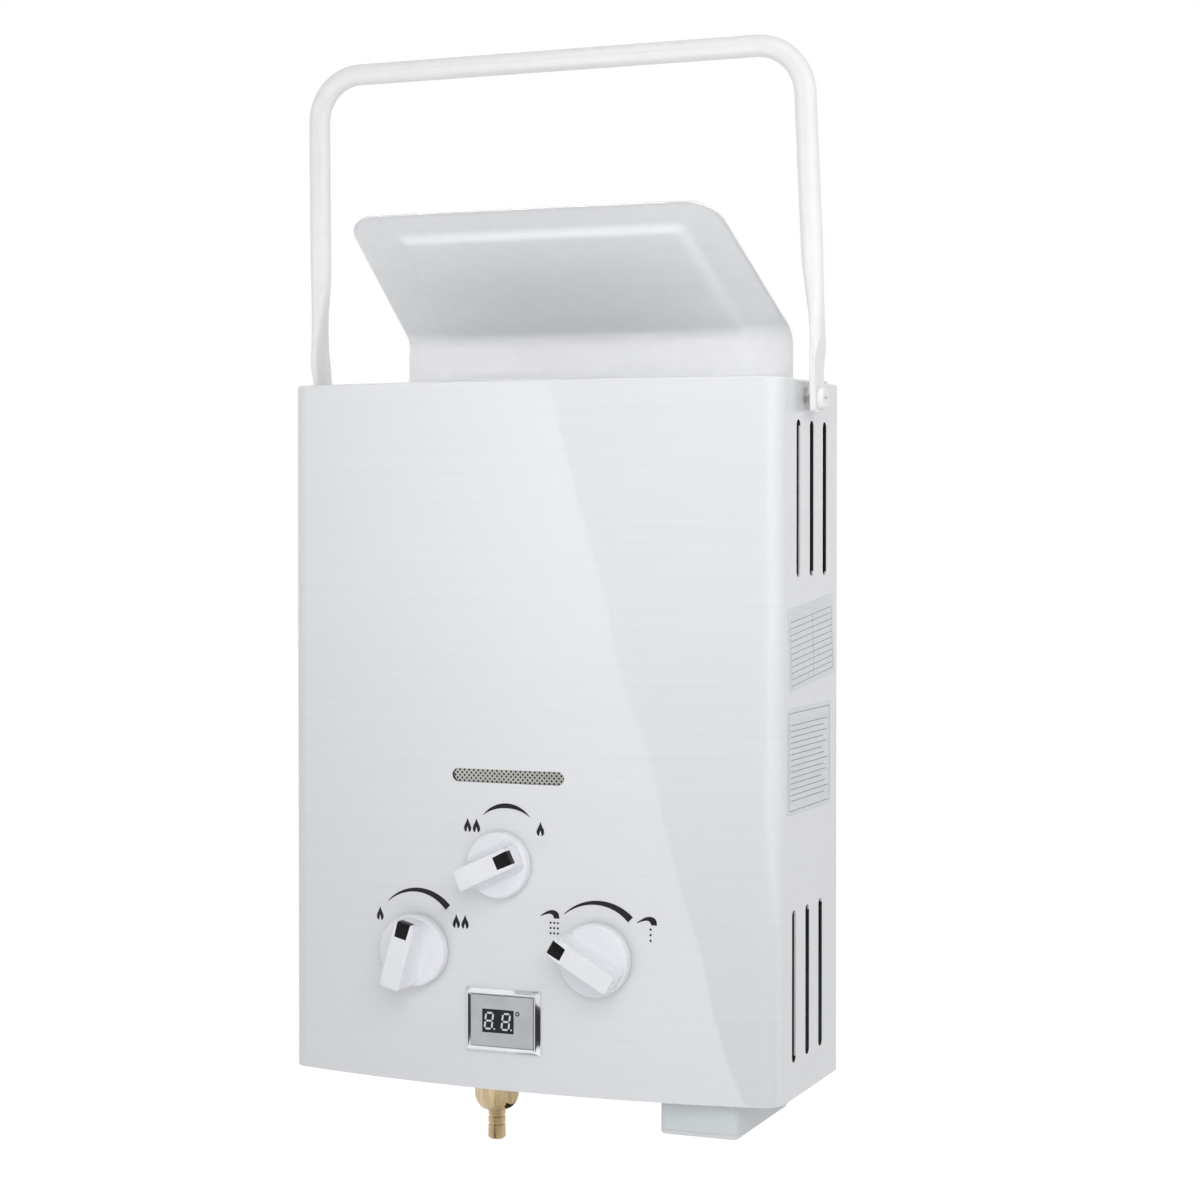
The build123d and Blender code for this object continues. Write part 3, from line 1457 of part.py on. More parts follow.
cold_route = [
    (lead_x, lead_y, water_valve_top),
    (lead_x, lead_y, water_valve_top + lead_rise),
    (coil_x, lead_y, water_valve_top + lead_rise + lead_slant),
    (coil_x, lead_y, coil_start_z),
]
cold_bends = [riser_bend, riser_bend, coil_bend]
coil_corners = (
    (coil_x, coil_back_y),
    (-coil_x, coil_back_y),
    (-coil_x, coil_front_y),
    (coil_x, coil_front_y),
)
for turn in range(coil_turns):
    turn_z = coil_start_z + turn * coil_pitch
    for (corner_x, corner_y), climb in zip(coil_corners, coil_climb):
        cold_route.append((corner_x, corner_y, turn_z + coil_pitch * climb))
        cold_bends.append(coil_bend)
coil_end_z = coil_start_z + coil_turns * coil_pitch
cold_route.append((coil_x, tube_rows_y[0], coil_end_z))
cold_route.append((coil_x, tube_rows_y[0], block_bottom))
cold_bends.append(riser_bend)

with BuildPart() as cold_pipe:
    add(pipe(cold_route, cold_bends, coil_radius, coil_wall))
cold_pipe.part.label = "cold_pipe"

hot_start_x = -tube_end_x - block_length
hot_route = (
    (hot_start_x, tube_rows_y[2], tube_z),
    (water_outlet_x, tube_rows_y[2], tube_z),
    (water_outlet_x, tube_rows_y[2], burner_top),
    (water_outlet_x, -water_outlet_depth, burner_bottom),
    (water_outlet_x, -water_outlet_depth, outlet_top),
)

with BuildPart() as hot_pipe:
    add(pipe(hot_route, riser_bend, coil_radius, coil_wall))
hot_pipe.part.label = "hot_pipe"

with BuildPart() as thermal_cutout:
    cutout_x = (hot_start_x - tube_end_x) / 2
    rod((cutout_x, tube_rows_y[2], block_bottom + block_height), (0, 0, 1), cutout_radius, cutout_height)
thermal_cutout.part.label = "thermal_cutout"

# ---------------------------------------------------------------- flue hood

hood_top = inner_top - hood_top_gap
hood_skirt_bottom = chamber_top - hood_overlap
hood_flare_top = chamber_top + hood_flare_height


def hood_solid(inset):
    """Skirt, flare and collar of the hood, as one block set in all round."""
    skirt_width = chamber_width + 2 * (slip + hood_sheet - inset)
    skirt_depth = chamber_depth + 2 * (slip + hood_sheet - inset)
    skirt_corner = chamber_corner - inset
    with BuildPart() as body:
        with BuildSketch(Plane.XY.offset(hood_skirt_bottom)):
            with Locations((0, chamber_mid_y)):
                RectangleRounded(skirt_width, skirt_depth, skirt_corner)
        extrude(amount=hood_overlap)
        with BuildSketch(Plane.XY.offset(chamber_top)) as low:
            with Locations((0, chamber_mid_y)):
                RectangleRounded(skirt_width, skirt_depth, skirt_corner)
        with BuildSketch(Plane.XY.offset(hood_flare_top)) as high:
            with Locations((0, chamber_mid_y)):
                RectangleRounded(hood_width - 2 * inset, hood_depth - 2 * inset, hood_corner - inset)
        loft([low.sketch, high.sketch])
        extrude(high.sketch, amount=hood_top - hood_flare_top)
    return body.part


with BuildPart() as flue_hood:
    add(hood_solid(0))
    add(hood_solid(hood_sheet), mode=Mode.SUBTRACT)
flue_hood.part.label = "flue_hood"

# ---------------------------------------------------------------- burner

burner_mid_y = -burner_back - burner_depth / 2
bar_bore_z = burner_bottom + bar_bulb_lift

with BuildPart() as burner_box:
    with BuildSketch(Plane.XY.offset(burner_bottom)):
        with Locations((0, burner_mid_y)):
            Rectangle(burner_width, burner_depth)
            Rectangle(burner_width - 2 * burner_sheet, burner_depth - 2 * burner_sheet, mode=Mode.SUBTRACT)
    extrude(amount=burner_height)
    with BuildSketch(Plane.XZ.offset(-burner_front_y)):
        with Locations((0, bar_bore_z)):
            with GridLocations(bar_pitch, 1, bar_count, 1):
                Circle(bar_bore_radius)
    extrude(amount=-burner_sheet, mode=Mode.SUBTRACT)
burner_box.part.label = "burner_box"

bar_length = burner_depth - 2 * burner_sheet
bar_crown_z = burner_top - bar_top_radius - slip

with BuildPart() as one_bar:
    with BuildSketch(Plane.XZ.offset(-burner_front_y - burner_sheet)):
        with Locations((0, bar_bore_z)):
            Circle(bar_bulb_radius)
        with Locations((0, bar_crown_z)):
            Circle(bar_top_radius)
        with Locations((0, bar_bore_z)):
            Rectangle(bar_width, bar_crown_z - bar_bore_z, align=(Align.CENTER, Align.MIN))
    extrude(amount=-bar_length)
    bar_mouth = (0, burner_front_y + burner_sheet, bar_bore_z)
    rod(bar_mouth, (0, 1, 0), bar_bore_radius, bar_bore_length, Mode.SUBTRACT)
    with BuildSketch(Plane.XY.offset(burner_top)):
        with Locations((0, burner_mid_y)):
            with GridLocations(1, bar_port_pitch, 1, bar_port_count):
                Rectangle(2 * bar_top_radius, bar_port_width)
    extrude(amount=-bar_port_depth, mode=Mode.SUBTRACT)

with BuildPart() as burner_bars:
    with GridLocations(bar_pitch, 1, bar_count, 1):
        add(one_bar.part)
burner_bars.part.label = "burner_bars"

with BuildPart() as gas_rail:
    block((-rail_width / 2, rail_front_y, rail_bottom), (rail_width / 2, rail_back_y, rail_bottom + rail_height))
    fillet(gas_rail.edges().filter_by(Axis.X), valve_edge)
gas_rail.part.label = "gas_rail"

with BuildPart() as gas_nozzles:
    with BuildSketch(Plane.XZ.offset(-rail_back_y)):
        with Locations((0, bar_bore_z)):
            with GridLocations(bar_pitch, 1, bar_count, 1):
                RegularPolygon(nozzle_radius, 6)
                Circle(nozzle_bore, mode=Mode.SUBTRACT)
    extrude(amount=-nozzle_length)
gas_nozzles.part.label = "gas_nozzles"

# ---------------------------------------------------------------- brackets and sensors

bracket_x = bracket_spacing / 2

with BuildPart() as mounting_brackets:
    for side in (-1, 1):
        with Locations((side * bracket_x, 0, 0)):
            add(z_bracket(chamber_back, block_bottom - bracket_foot))
            add(z_bracket(burner_back, burner_bottom + bracket_foot / 2))
    with Locations((gas_valve_left + gas_valve_width / 2, 0, 0)):
        add(z_bracket(gas_valve_back, gas_valve_z))
    with Locations((water_valve_left + water_valve_width / 2, 0, 0)):
        add(z_bracket(water_valve_back, rod_z))
mounting_brackets.part.label = "mounting_brackets"

with BuildPart() as pulse_igniter:
    igniter_x = igniter_side_gap + igniter_size[0] / 2 - half_width
    igniter_z = case_top - igniter_drop
    block(
        (igniter_x - igniter_size[0] / 2, -back_sheet - igniter_size[1], igniter_z - igniter_size[2] / 2),
        (igniter_x + igniter_size[0] / 2, -back_sheet, igniter_z + igniter_size[2] / 2),
    )
    fillet(pulse_igniter.edges().filter_by(Axis.Y), valve_edge)
pulse_igniter.part.label = "pulse_igniter"


def electrode_solid(x):
    """A ceramic rod clipped to the burner front, its tip bent over the burner."""
    foot_z = burner_top - electrode_height
    axis_y = burner_front_y - electrode_radius - slip
    tip_z = burner_top + burner_gap / 2
    with BuildPart() as electrode:
        rod((x, axis_y, foot_z), (0, 0, 1), electrode_radius, tip_z + electrode_tip_radius - foot_z)
        rod((x, axis_y, tip_z), (0, 1, 0), electrode_tip_radius, electrode_radius + slip + electrode_tip)
        with Locations((x, burner_front_y, burner_top - electrode_height / 2)):
            Box(
                electrode_clip[0],
                electrode_radius,
                electrode_clip[1],
                align=(Align.CENTER, Align.MAX, Align.CENTER),
            )
    return electrode.part


with BuildPart() as burner_probes:
    # the ignition electrode and the flame sensor
    for probe_x in (electrode_x, flame_sensor_x):
        add(electrode_solid(probe_x))
burner_probes.part.label = "burner_probes"

# ---------------------------------------------------------------- export

pieces = (
    front_cover,
    back_plate,
    base_plate,
    rain_cap,
    casing_screws,
    carry_handle,
    handle_bolts,
    handle_fixings,
    flame_window_grille,
    season_knob,
    season_pointer,
    season_spindle,
    gas_knob,
    gas_pointer,
    gas_spindle,
    water_knob,
    water_pointer,
    water_spindle,
    display_bezel,
    display_face,
    display_lens,
    display_module,
    side_labels,
    battery_box,
    battery_hinge_pin,
    battery_cover,
    battery_cells,
    battery_contacts,
    gas_inlet_stub,
    gas_union_nut,
    gas_hose_nipple,
    gas_seal,
    gas_valve_body,
    solenoid_valve,
    gas_riser,
    season_valve,
    gas_rail,
    gas_nozzles,
    burner_box,
    burner_bars,
    water_fittings,
    drain_plug,
    water_valve_body,
    diaphragm,
    diaphragm_cover,
    diaphragm_screws,
    push_rod,
    ignition_microswitch,
    exchanger_shell,
    exchanger_fins,
    exchanger_tubes,
    exchanger_blocks,
    cold_pipe,
    hot_pipe,
    flue_hood,
    thermal_cutout,
    mounting_brackets,
    pulse_igniter,
    burner_probes,
)
for piece in pieces:
    export_step(piece.part, f"parts/{piece.part.label}.step")
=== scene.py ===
import json
import math

import bmesh
import bpy
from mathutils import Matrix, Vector


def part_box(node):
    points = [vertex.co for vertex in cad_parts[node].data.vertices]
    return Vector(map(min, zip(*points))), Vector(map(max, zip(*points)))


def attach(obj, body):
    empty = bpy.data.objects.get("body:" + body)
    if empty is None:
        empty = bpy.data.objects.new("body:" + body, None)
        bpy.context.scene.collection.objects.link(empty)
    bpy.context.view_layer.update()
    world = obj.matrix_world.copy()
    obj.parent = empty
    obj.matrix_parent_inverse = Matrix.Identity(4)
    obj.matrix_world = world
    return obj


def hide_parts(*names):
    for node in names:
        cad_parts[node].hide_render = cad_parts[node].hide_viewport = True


# Portable gas water heater: looks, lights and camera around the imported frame.
# Lengths of the heater are in millimetres and become Blender's metres by MM; places on its
# front are (x, z). The floor's reach, the lights and the cards are in metres.

MM = 0.001

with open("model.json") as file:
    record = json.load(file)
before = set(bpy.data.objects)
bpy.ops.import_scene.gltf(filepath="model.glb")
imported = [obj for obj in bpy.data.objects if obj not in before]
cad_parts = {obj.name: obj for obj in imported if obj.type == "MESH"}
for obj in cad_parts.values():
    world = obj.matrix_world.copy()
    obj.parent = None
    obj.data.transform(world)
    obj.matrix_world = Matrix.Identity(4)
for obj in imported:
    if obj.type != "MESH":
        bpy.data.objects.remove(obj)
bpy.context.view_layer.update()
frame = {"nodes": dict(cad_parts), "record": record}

# ---- places taken from the frame

cover_low, cover_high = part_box("front_cover")
lens_low, lens_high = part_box("display_lens")
lid_low, lid_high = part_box("battery_cover")

half_width = cover_high.x
front_bow = 15 * MM  # bulge of the front past its corners
bow_radius = (half_width**2 + front_bow**2) / (2 * front_bow)


def front_y(x):
    """Y of the bowed front panel at x."""
    return cover_low.y + bow_radius - math.sqrt(bow_radius**2 - x**2)


# ---- node helpers

NOISE_SPAN = (0.3, 0.7)  # what a noise mostly stays within


def new_material(name):
    """A material with its Principled shader, and the helpers' place to add nodes."""
    made = bpy.data.materials.new(name)
    made.use_nodes = True
    return made, made.node_tree, made.node_tree.nodes["Principled BSDF"]


def set_finish(shader, **values):
    """Constants of the shader, set on its own sockets."""
    for socket, value in values.items():
        shader.inputs[socket.replace("_", " ")].default_value = value


def noise(tree, size, stretch=(1, 1, 1), detail=3.0, rough=0.5, cells=False):
    """Noise, or cells, over the object's own place; size is the feature size in millimetres."""
    place = tree.nodes.new("ShaderNodeTexCoord")
    mapping = tree.nodes.new("ShaderNodeMapping")
    mapping.inputs["Scale"].default_value = stretch
    tree.links.new(place.outputs["Object"], mapping.inputs["Vector"])
    texture = tree.nodes.new("ShaderNodeTexVoronoi" if cells else "ShaderNodeTexNoise")
    texture.inputs["Scale"].default_value = 1 / (size * MM)
    tree.links.new(mapping.outputs["Vector"], texture.inputs["Vector"])
    if cells:
        return texture.outputs["Distance"]
    texture.inputs["Detail"].default_value = detail
    texture.inputs["Roughness"].default_value = rough
    return texture.outputs["Fac"]


def colour_ramp(tree, shader, value, dark, light, low=0.35, high=0.65):
    """Base colour between two tones, led by a value."""
    ramp = tree.nodes.new("ShaderNodeValToRGB")
    for element, position, colour in zip(ramp.color_ramp.elements, (low, high), (dark, light)):
        element.position = position
        element.color = (*colour, 1)
    tree.links.new(value, ramp.inputs["Fac"])
    tree.links.new(ramp.outputs["Color"], shader.inputs["Base Color"])


def math_node(tree, operation, *inputs):
    """Result of a math node whose inputs are numbers or sockets of other nodes."""
    node = tree.nodes.new("ShaderNodeMath")
    node.operation = operation
    for index, value in enumerate(inputs):
        if isinstance(value, (int, float)):
            node.inputs[index].default_value = value
        else:
            tree.links.new(value, node.inputs[index])
    return node.outputs[0]


def map_range(tree, value, source=(0.0, 1.0), target=(0.0, 1.0)):
    """A value carried from one span to another."""
    span = tree.nodes.new("ShaderNodeMapRange")
    for socket, level in zip(("From Min", "From Max", "To Min", "To Max"), (*source, *target)):
        span.inputs[socket].default_value = level
    tree.links.new(value, span.inputs["Value"])
    return span.outputs["Result"]


def mix_base(tree, shader, factor, colour, socket):
    """Mixes a colour into the base colour; socket A takes it at factor 0, socket B at factor 1."""
    mix = tree.nodes.new("ShaderNodeMix")
    mix.data_type = "RGBA"
    mix.inputs[socket].default_value = (*colour, 1)
    tree.links.new(factor, mix.inputs["Factor"])
    base = shader.inputs["Base Color"]
    tree.links.new(base.links[0].from_socket, mix.inputs["B" if socket == "A" else "A"])
    tree.links.new(mix.outputs["Result"], base)


def roughness_range(tree, shader, value, low, high):
    """Roughness between two levels, led by a value."""
    tree.links.new(map_range(tree, value, NOISE_SPAN, (low, high)), shader.inputs["Roughness"])


def bump(tree, shader, value, height, strength):
    """Bump of a height in millimetres."""
    node = tree.nodes.new("ShaderNodeBump")
    node.inputs["Distance"].default_value = height * MM
    node.inputs["Strength"].default_value = strength
    tree.links.new(value, node.inputs["Height"])
    tree.links.new(node.outputs["Normal"], shader.inputs["Normal"])


# ---- materials

PAINT_IOR = 1.5
COAT_IOR = 1.65
PLASTIC_IOR = 1.49
FILM_IOR = 1.45
LEVEL_STREAKS = (0.012, 0.012, 1)  # stretch of a noise into level streaks
HALF_CELL = 0.5
HOLE_EDGE = (0.75, 1.25)  # squared distance over squared radius: hole below, steel above
# painted shade: the near-black colour of the holes
HOLE_SHADE = (0.006, 0.006, 0.006)


def painted_steel(name, dark, light, streak=True, gloss=1.0, coat_roughness=0.03):
    """White stoved paint over sheet steel, with a faint horizontal grain where it is streaked."""
    made, tree, shader = new_material(name)
    set_finish(shader, Metallic=0.0, IOR=PAINT_IOR)
    set_finish(shader, Coat_Weight=gloss, Coat_Roughness=coat_roughness, Coat_IOR=COAT_IOR)
    if streak:
        grain = noise(tree, size=1.6, stretch=LEVEL_STREAKS, detail=4.0)
    else:
        grain = noise(tree, size=9, detail=4.0)
    colour_ramp(tree, shader, grain, dark, light)
    roughness_range(tree, shader, noise(tree, size=22, detail=2.0), low=0.5, high=0.6)
    bump(tree, shader, noise(tree, size=3.0, detail=1.0), height=0.004, strength=0.3)
    return made


def inside_shaded_steel(name, dark, light, middle, primer):
    """Painted steel whose inner faces, turned towards the casing's middle, are painted near-black as
    the shade inside the casing.
    """
    made = painted_steel(name, dark, light)
    tree = made.node_tree
    place = tree.nodes.new("ShaderNodeTexCoord")
    reach = tree.nodes.new("ShaderNodeVectorMath")
    reach.operation = "SUBTRACT"
    reach.inputs[1].default_value = middle
    tree.links.new(place.outputs["Object"], reach.inputs[0])
    facing = tree.nodes.new("ShaderNodeVectorMath")
    facing.operation = "DOT_PRODUCT"
    tree.links.new(reach.outputs["Vector"], facing.inputs[0])
    tree.links.new(place.outputs["Normal"], facing.inputs[1])
    # painted shade: faces turned towards the middle take a near-black colour instead of the paint
    inside = math_node(tree, "LESS_THAN", facing.outputs["Value"], 0.0)
    mix_base(tree, tree.nodes["Principled BSDF"], inside, primer, socket="B")
    return made


def perforated_steel(name, dark, light, pitch, radius):
    """Steel strip with staggered rows of holes painted near-black as shade; pitch is (along, between
    every second row).
    """
    made = brushed_metal(name, dark, light, (0.30, 0.42), stretch=(0.05, 0.05, 1), size=0.4)
    tree = made.node_tree
    shader = tree.nodes["Principled BSDF"]
    place = tree.nodes.new("ShaderNodeTexCoord")
    apart = tree.nodes.new("ShaderNodeSeparateXYZ")
    tree.links.new(place.outputs["Object"], apart.inputs[0])
    distances = []
    for shift in (0.0, HALF_CELL):
        squares = []
        for axis, step in zip("XZ", pitch):
            cell = math_node(tree, "MULTIPLY_ADD", apart.outputs[axis], 1 / (step * MM), shift)
            off_centre = math_node(tree, "PINGPONG", cell, HALF_CELL)
            scaled = math_node(tree, "MULTIPLY", off_centre, step / radius)
            squares.append(math_node(tree, "POWER", scaled, 2))
        distances.append(math_node(tree, "ADD", *squares))
    steel = map_range(tree, math_node(tree, "MINIMUM", *distances), HOLE_EDGE)
    # painted shade: the holes are coloured near-black and not metallic
    mix_base(tree, shader, steel, HOLE_SHADE, socket="A")
    tree.links.new(steel, shader.inputs["Metallic"])
    return made


def brushed_metal(name, dark, light, roughness, stretch=(1, 1, 1), size=2.0, height=0.01):
    """Bare or plated metal with a fine grain, broader in its tone and finer in its relief."""
    tone_size, relief_size = size * 6, size * 0.5
    made, tree, shader = new_material(name)
    set_finish(shader, Metallic=1.0)
    colour_ramp(tree, shader, noise(tree, tone_size, stretch, detail=4.0), dark, light)
    roughness_range(tree, shader, noise(tree, size, stretch, detail=3.0), *roughness)
    bump(tree, shader, noise(tree, relief_size, stretch, detail=2.0), height, strength=0.6)
    return made


def galvanised(name, dark, light):
    """Zinc-coated sheet with its frost-like spangle."""
    made, tree, shader = new_material(name)
    set_finish(shader, Metallic=0.9)
    spangle = noise(tree, size=7, cells=True)
    colour_ramp(tree, shader, spangle, dark, light, low=0.1, high=0.7)
    roughness_range(tree, shader, spangle, low=0.34, high=0.48)
    bump(tree, shader, noise(tree, size=1.2, detail=2.0), height=0.008, strength=0.5)
    return made


def moulded_plastic(name, dark, light, roughness, size=0.5, height=0.01, **finish):
    """Injection-moulded plastic, with a faint texture where a height is given."""
    made, tree, shader = new_material(name)
    set_finish(shader, IOR=PLASTIC_IOR, **finish)
    colour_ramp(tree, shader, noise(tree, size=14, detail=3.0), dark, light)
    roughness_range(tree, shader, noise(tree, size=5, detail=2.0), *roughness)
    if height:
        bump(tree, shader, noise(tree, size, detail=2.0), height, strength=0.5)
    return made


def cast_metal(name, dark, light):
    """Die-cast alloy, grainy and dull."""
    made, tree, shader = new_material(name)
    set_finish(shader, Metallic=0.85)
    colour_ramp(tree, shader, noise(tree, size=6, detail=6.0, rough=0.7), dark, light)
    roughness_range(tree, shader, noise(tree, size=1.5, detail=4.0), low=0.42, high=0.60)
    bump(tree, shader, noise(tree, size=0.7, detail=4.0), height=0.05, strength=0.6)
    return made


def printed_film(name, dark, light):
    """Silver-white sticker film."""
    made, tree, shader = new_material(name)
    set_finish(shader, Metallic=0.25, IOR=FILM_IOR)
    colour_ramp(tree, shader, noise(tree, size=0.7, stretch=(1, 0.05, 1), detail=3.0), dark, light)
    roughness_range(tree, shader, noise(tree, size=3, detail=2.0), low=0.30, high=0.42)
    bump(tree, shader, noise(tree, size=6, detail=1.0), height=0.01, strength=0.4)
    return made


def ink(name, dark, light):
    """Screen-printed ink, a little uneven."""
    made, tree, shader = new_material(name)
    set_finish(shader, IOR=FILM_IOR, Specular_IOR_Level=0.3)
    colour_ramp(tree, shader, noise(tree, size=0.8, detail=3.0), dark, light)
    roughness_range(tree, shader, noise(tree, size=2, detail=2.0), low=0.35, high=0.5)
    bump(tree, shader, noise(tree, size=0.3, detail=2.0), height=0.004, strength=0.5)
    return made


def lit_segment(name, dark, light, glow):
    """Light grey bars of the display."""
    made, tree, shader = new_material(name)
    set_finish(shader, Emission_Strength=0.15, Emission_Color=(*glow, 1))
    colour_ramp(tree, shader, noise(tree, size=1.5, detail=2.0), dark, light)
    roughness_range(tree, shader, noise(tree, size=1, detail=2.0), low=0.3, high=0.45)
    return made


materials = {}


def stock(maker, name, **looks):
    """Makes a material and keeps it under its name; dark and light are the ends of its tone."""
    materials[name] = maker(name, **looks)


stock(
    painted_steel, "white_steel", dark=(0.85, 0.86, 0.87), light=(0.87, 0.88, 0.89),
    streak=False, gloss=0.15, coat_roughness=0.25,
)
stock(painted_steel, "white_bail", dark=(0.86, 0.86, 0.87), light=(0.88, 0.88, 0.89), streak=False)
# the casing's inner faces get a near-black painted shade
stock(
    inside_shaded_steel, "casing_paint", dark=(0.775, 0.785, 0.805), light=(0.795, 0.805, 0.825),
    middle=(0, -0.055, -0.16), primer=(0.03, 0.03, 0.032),
)
stock(
    perforated_steel, "stainless_mesh", dark=(0.50, 0.49, 0.47), light=(0.62, 0.61, 0.58),
    pitch=(2.8, 2.9), radius=0.62,
)
stock(galvanised, "zinc_sheet", dark=(0.50, 0.51, 0.53), light=(0.63, 0.64, 0.66))
stock(cast_metal, "cast_valve", dark=(0.42, 0.43, 0.44), light=(0.56, 0.57, 0.58))
stock(printed_film, "label_film", dark=(0.68, 0.72, 0.74), light=(0.75, 0.79, 0.81))
stock(ink, "black_ink", dark=(0.010, 0.010, 0.012), light=(0.022, 0.022, 0.025))
stock(ink, "grey_ink", dark=(0.22, 0.23, 0.25), light=(0.30, 0.31, 0.33))
stock(
    lit_segment, "segment_light", dark=(0.55, 0.57, 0.59), light=(0.66, 0.68, 0.70),
    glow=(0.75, 0.78, 0.80),
)

METALS = {  # dark, light, roughness, then what differs from brushed_metal's usual values
    "zinc_hardware": ((0.58, 0.58, 0.57), (0.70, 0.70, 0.69), (0.25, 0.38), {}),
    "brass_parts": (
        (0.34, 0.25, 0.13), (0.66, 0.53, 0.33), (0.08, 0.16), {"stretch": (3, 3, 0.5), "size": 3.0}
    ),
    "bright_trim": ((0.78, 0.79, 0.80), (0.84, 0.85, 0.86), (0.04, 0.10), {"height": 0.002}),
    "nickel_contact": ((0.60, 0.58, 0.53), (0.72, 0.70, 0.66), (0.22, 0.36), {}),
    "burner_steel": (
        (0.42, 0.40, 0.38), (0.58, 0.56, 0.53), (0.35, 0.5), {"stretch": (1, 0.1, 1), "size": 1.5}
    ),
    "copper_parts": ((0.55, 0.27, 0.16), (0.74, 0.42, 0.28), (0.22, 0.40), {"size": 4.0}),
}
PLASTICS = {  # the same for moulded_plastic
    "white_plastic": ((0.85, 0.86, 0.90), (0.88, 0.89, 0.93), (0.22, 0.28), {"height": 0.0}),
    "black_plastic": (
        (0.004, 0.004, 0.005), (0.007, 0.007, 0.008), (0.30, 0.42), {"Specular_IOR_Level": 0.18}
    ),
    "silver_plastic": (
        (0.50, 0.51, 0.52), (0.56, 0.57, 0.58), (0.36, 0.46), {"size": 0.3, "Metallic": 0.4}
    ),
    "dark_window": (
        (0.010, 0.011, 0.018), (0.015, 0.017, 0.026), (0.12, 0.20), {"Specular_IOR_Level": 0.25}
    ),
    "clear_grey_plastic": (
        (0.89, 0.89, 0.89), (0.92, 0.92, 0.92), (0.30, 0.40),
        {"Transmission_Weight": 0.12, "Subsurface_Weight": 0.15},
    ),
    "cell_can": ((0.03, 0.09, 0.05), (0.06, 0.14, 0.08), (0.25, 0.38), {"Metallic": 0.5}),
    "seal_rubber": ((0.015, 0.015, 0.015), (0.03, 0.03, 0.03), (0.6, 0.8), {"size": 1.0}),
    "circuit_module": ((0.02, 0.10, 0.04), (0.04, 0.17, 0.07), (0.4, 0.55), {}),
    "coil_housing": ((0.02, 0.02, 0.025), (0.04, 0.04, 0.045), (0.4, 0.55), {}),
    "switch_plastic": ((0.03, 0.03, 0.03), (0.05, 0.05, 0.05), (0.4, 0.5), {}),
    "igniter_plastic": ((0.02, 0.02, 0.022), (0.04, 0.04, 0.042), (0.35, 0.5), {}),
    "white_ceramic": ((0.72, 0.70, 0.64), (0.80, 0.78, 0.72), (0.15, 0.25), {}),
}
for maker, looks in ((brushed_metal, METALS), (moulded_plastic, PLASTICS)):
    for name, (dark, light, roughness, others) in looks.items():
        stock(maker, name, dark=dark, light=light, roughness=roughness, **others)


def dress_frame():
    """Every CAD node gets the material of its slot; the casing's has painted shade on its inner
    faces.
    """
    for part in frame["record"]["subparts"]:
        mesh = frame["nodes"][part["node"]].data
        mesh.materials.clear()
        mesh.materials.append(materials[part["material_slot"]])
    frame["nodes"]["front_cover"].data.materials[0] = materials["casing_paint"]


# ---- mesh helpers

CIRCLE = 2  # squareness of a round outline


def add_object(name, data):
    """An object of the scene."""
    made = bpy.data.objects.new(name, data)
    bpy.context.scene.collection.objects.link(made)
    return made


def mesh_data(name, mesh, material):
    """The data of a bmesh, which is freed."""
    data = bpy.data.meshes.new(name)
    mesh.to_mesh(data)
    mesh.free()
    data.materials.append(material)
    return data


def finish_piece(name, mesh, body, slot, look=None, sharp_angle=None):
    """Turns a bmesh into a named piece on a body, in its slot's material or another look.

    Edges flatter than the sharp angle, in degrees, are shaded smooth.
    """
    bmesh.ops.recalc_face_normals(mesh, faces=mesh.faces)
    data = mesh_data(name, mesh, materials[look or slot])
    if sharp_angle is not None:
        data.polygons.foreach_set("use_smooth", [True] * len(data.polygons))
        data.set_sharp_from_angle(angle=math.radians(sharp_angle))
    piece = add_object(name, data)
    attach(piece, body)
    return piece


def ease(share):
    """Smooth step from 0 to 1."""
    share = min(max(share, 0.0), 1.0)
    return share * share * (3 - 2 * share)


def super_unit(turn, squareness):
    """A point of the unit superellipse: a circle at CIRCLE, squarer above it."""
    c, s = math.cos(turn), math.sin(turn)
    power = 2 / squareness
    return math.copysign(abs(c) ** power, c), math.copysign(abs(s) ** power, s)


def join_rings(mesh, one, two):
    """Faces between two closed rings of vertices."""
    count = len(one)
    for index in range(count):
        after = (index + 1) % count
        mesh.faces.new((one[index], one[after], two[after], two[index]))


def add_loft(mesh, rings, capped=True):
    """A skin through rings of as many points each."""
    rows = [[mesh.verts.new(point) for point in ring] for ring in rings]
    for one, two in zip(rows, rows[1:]):
        join_rings(mesh, one, two)
    if capped:
        mesh.faces.new(list(reversed(rows[0])))
        mesh.faces.new(rows[-1])


def add_prism(mesh, outline, place):
    """A thin closed prism: the outline's front and back faces are put in place by a function."""
    front = [mesh.verts.new(place(x, z, 1)) for x, z in outline]
    back = [mesh.verts.new(place(x, z, 0)) for x, z in outline]
    mesh.faces.new(front)
    mesh.faces.new(list(reversed(back)))
    join_rings(mesh, back, front)


# ---- carrying handle

HANDLE_LEAN = math.radians(3.6)
HANDLE_PIVOT = Vector((0, -55, 22))
HANDLE_RISE = 190.1  # of the bar's axis over the pivot
HANDLE_BEND = 27.0
HANDLE_SIDE = 155.2  # outermost x
TAB_X = 150.5
TAB_BELOW = 7.4  # from the pivot to the tab's end
TAB_CORNER = 3.0
TAB_HALF_THICKNESS = 1.75
TAB_HALF_BREADTH = 9.25
TAB_SQUARENESS = 6
TUBE_RADIUS = 6.0
LEG_X = 147.0  # at the top of the legs
LEG_TOP = HANDLE_RISE - HANDLE_BEND
LEAN_IN_FROM = 30  # rise where a leg starts to lean inwards
INNER_SWELL = (30, 50)  # rise where the inner flank starts to round out, and the length it takes
OUTER_SWELL = (14, 16)
BREADTH_FALL = (24, 40)
EDGE_ROUNDING = (12, 22)
CREASE_FROM = 19  # rise where the outer flank leaves the flat of the tab
CREASE_SLOPE = 0.16
TAB_RISES = (-7.4, -7.3, -7.0, -6.4, -5.5, -4.4, 0, 7, 12, 15)
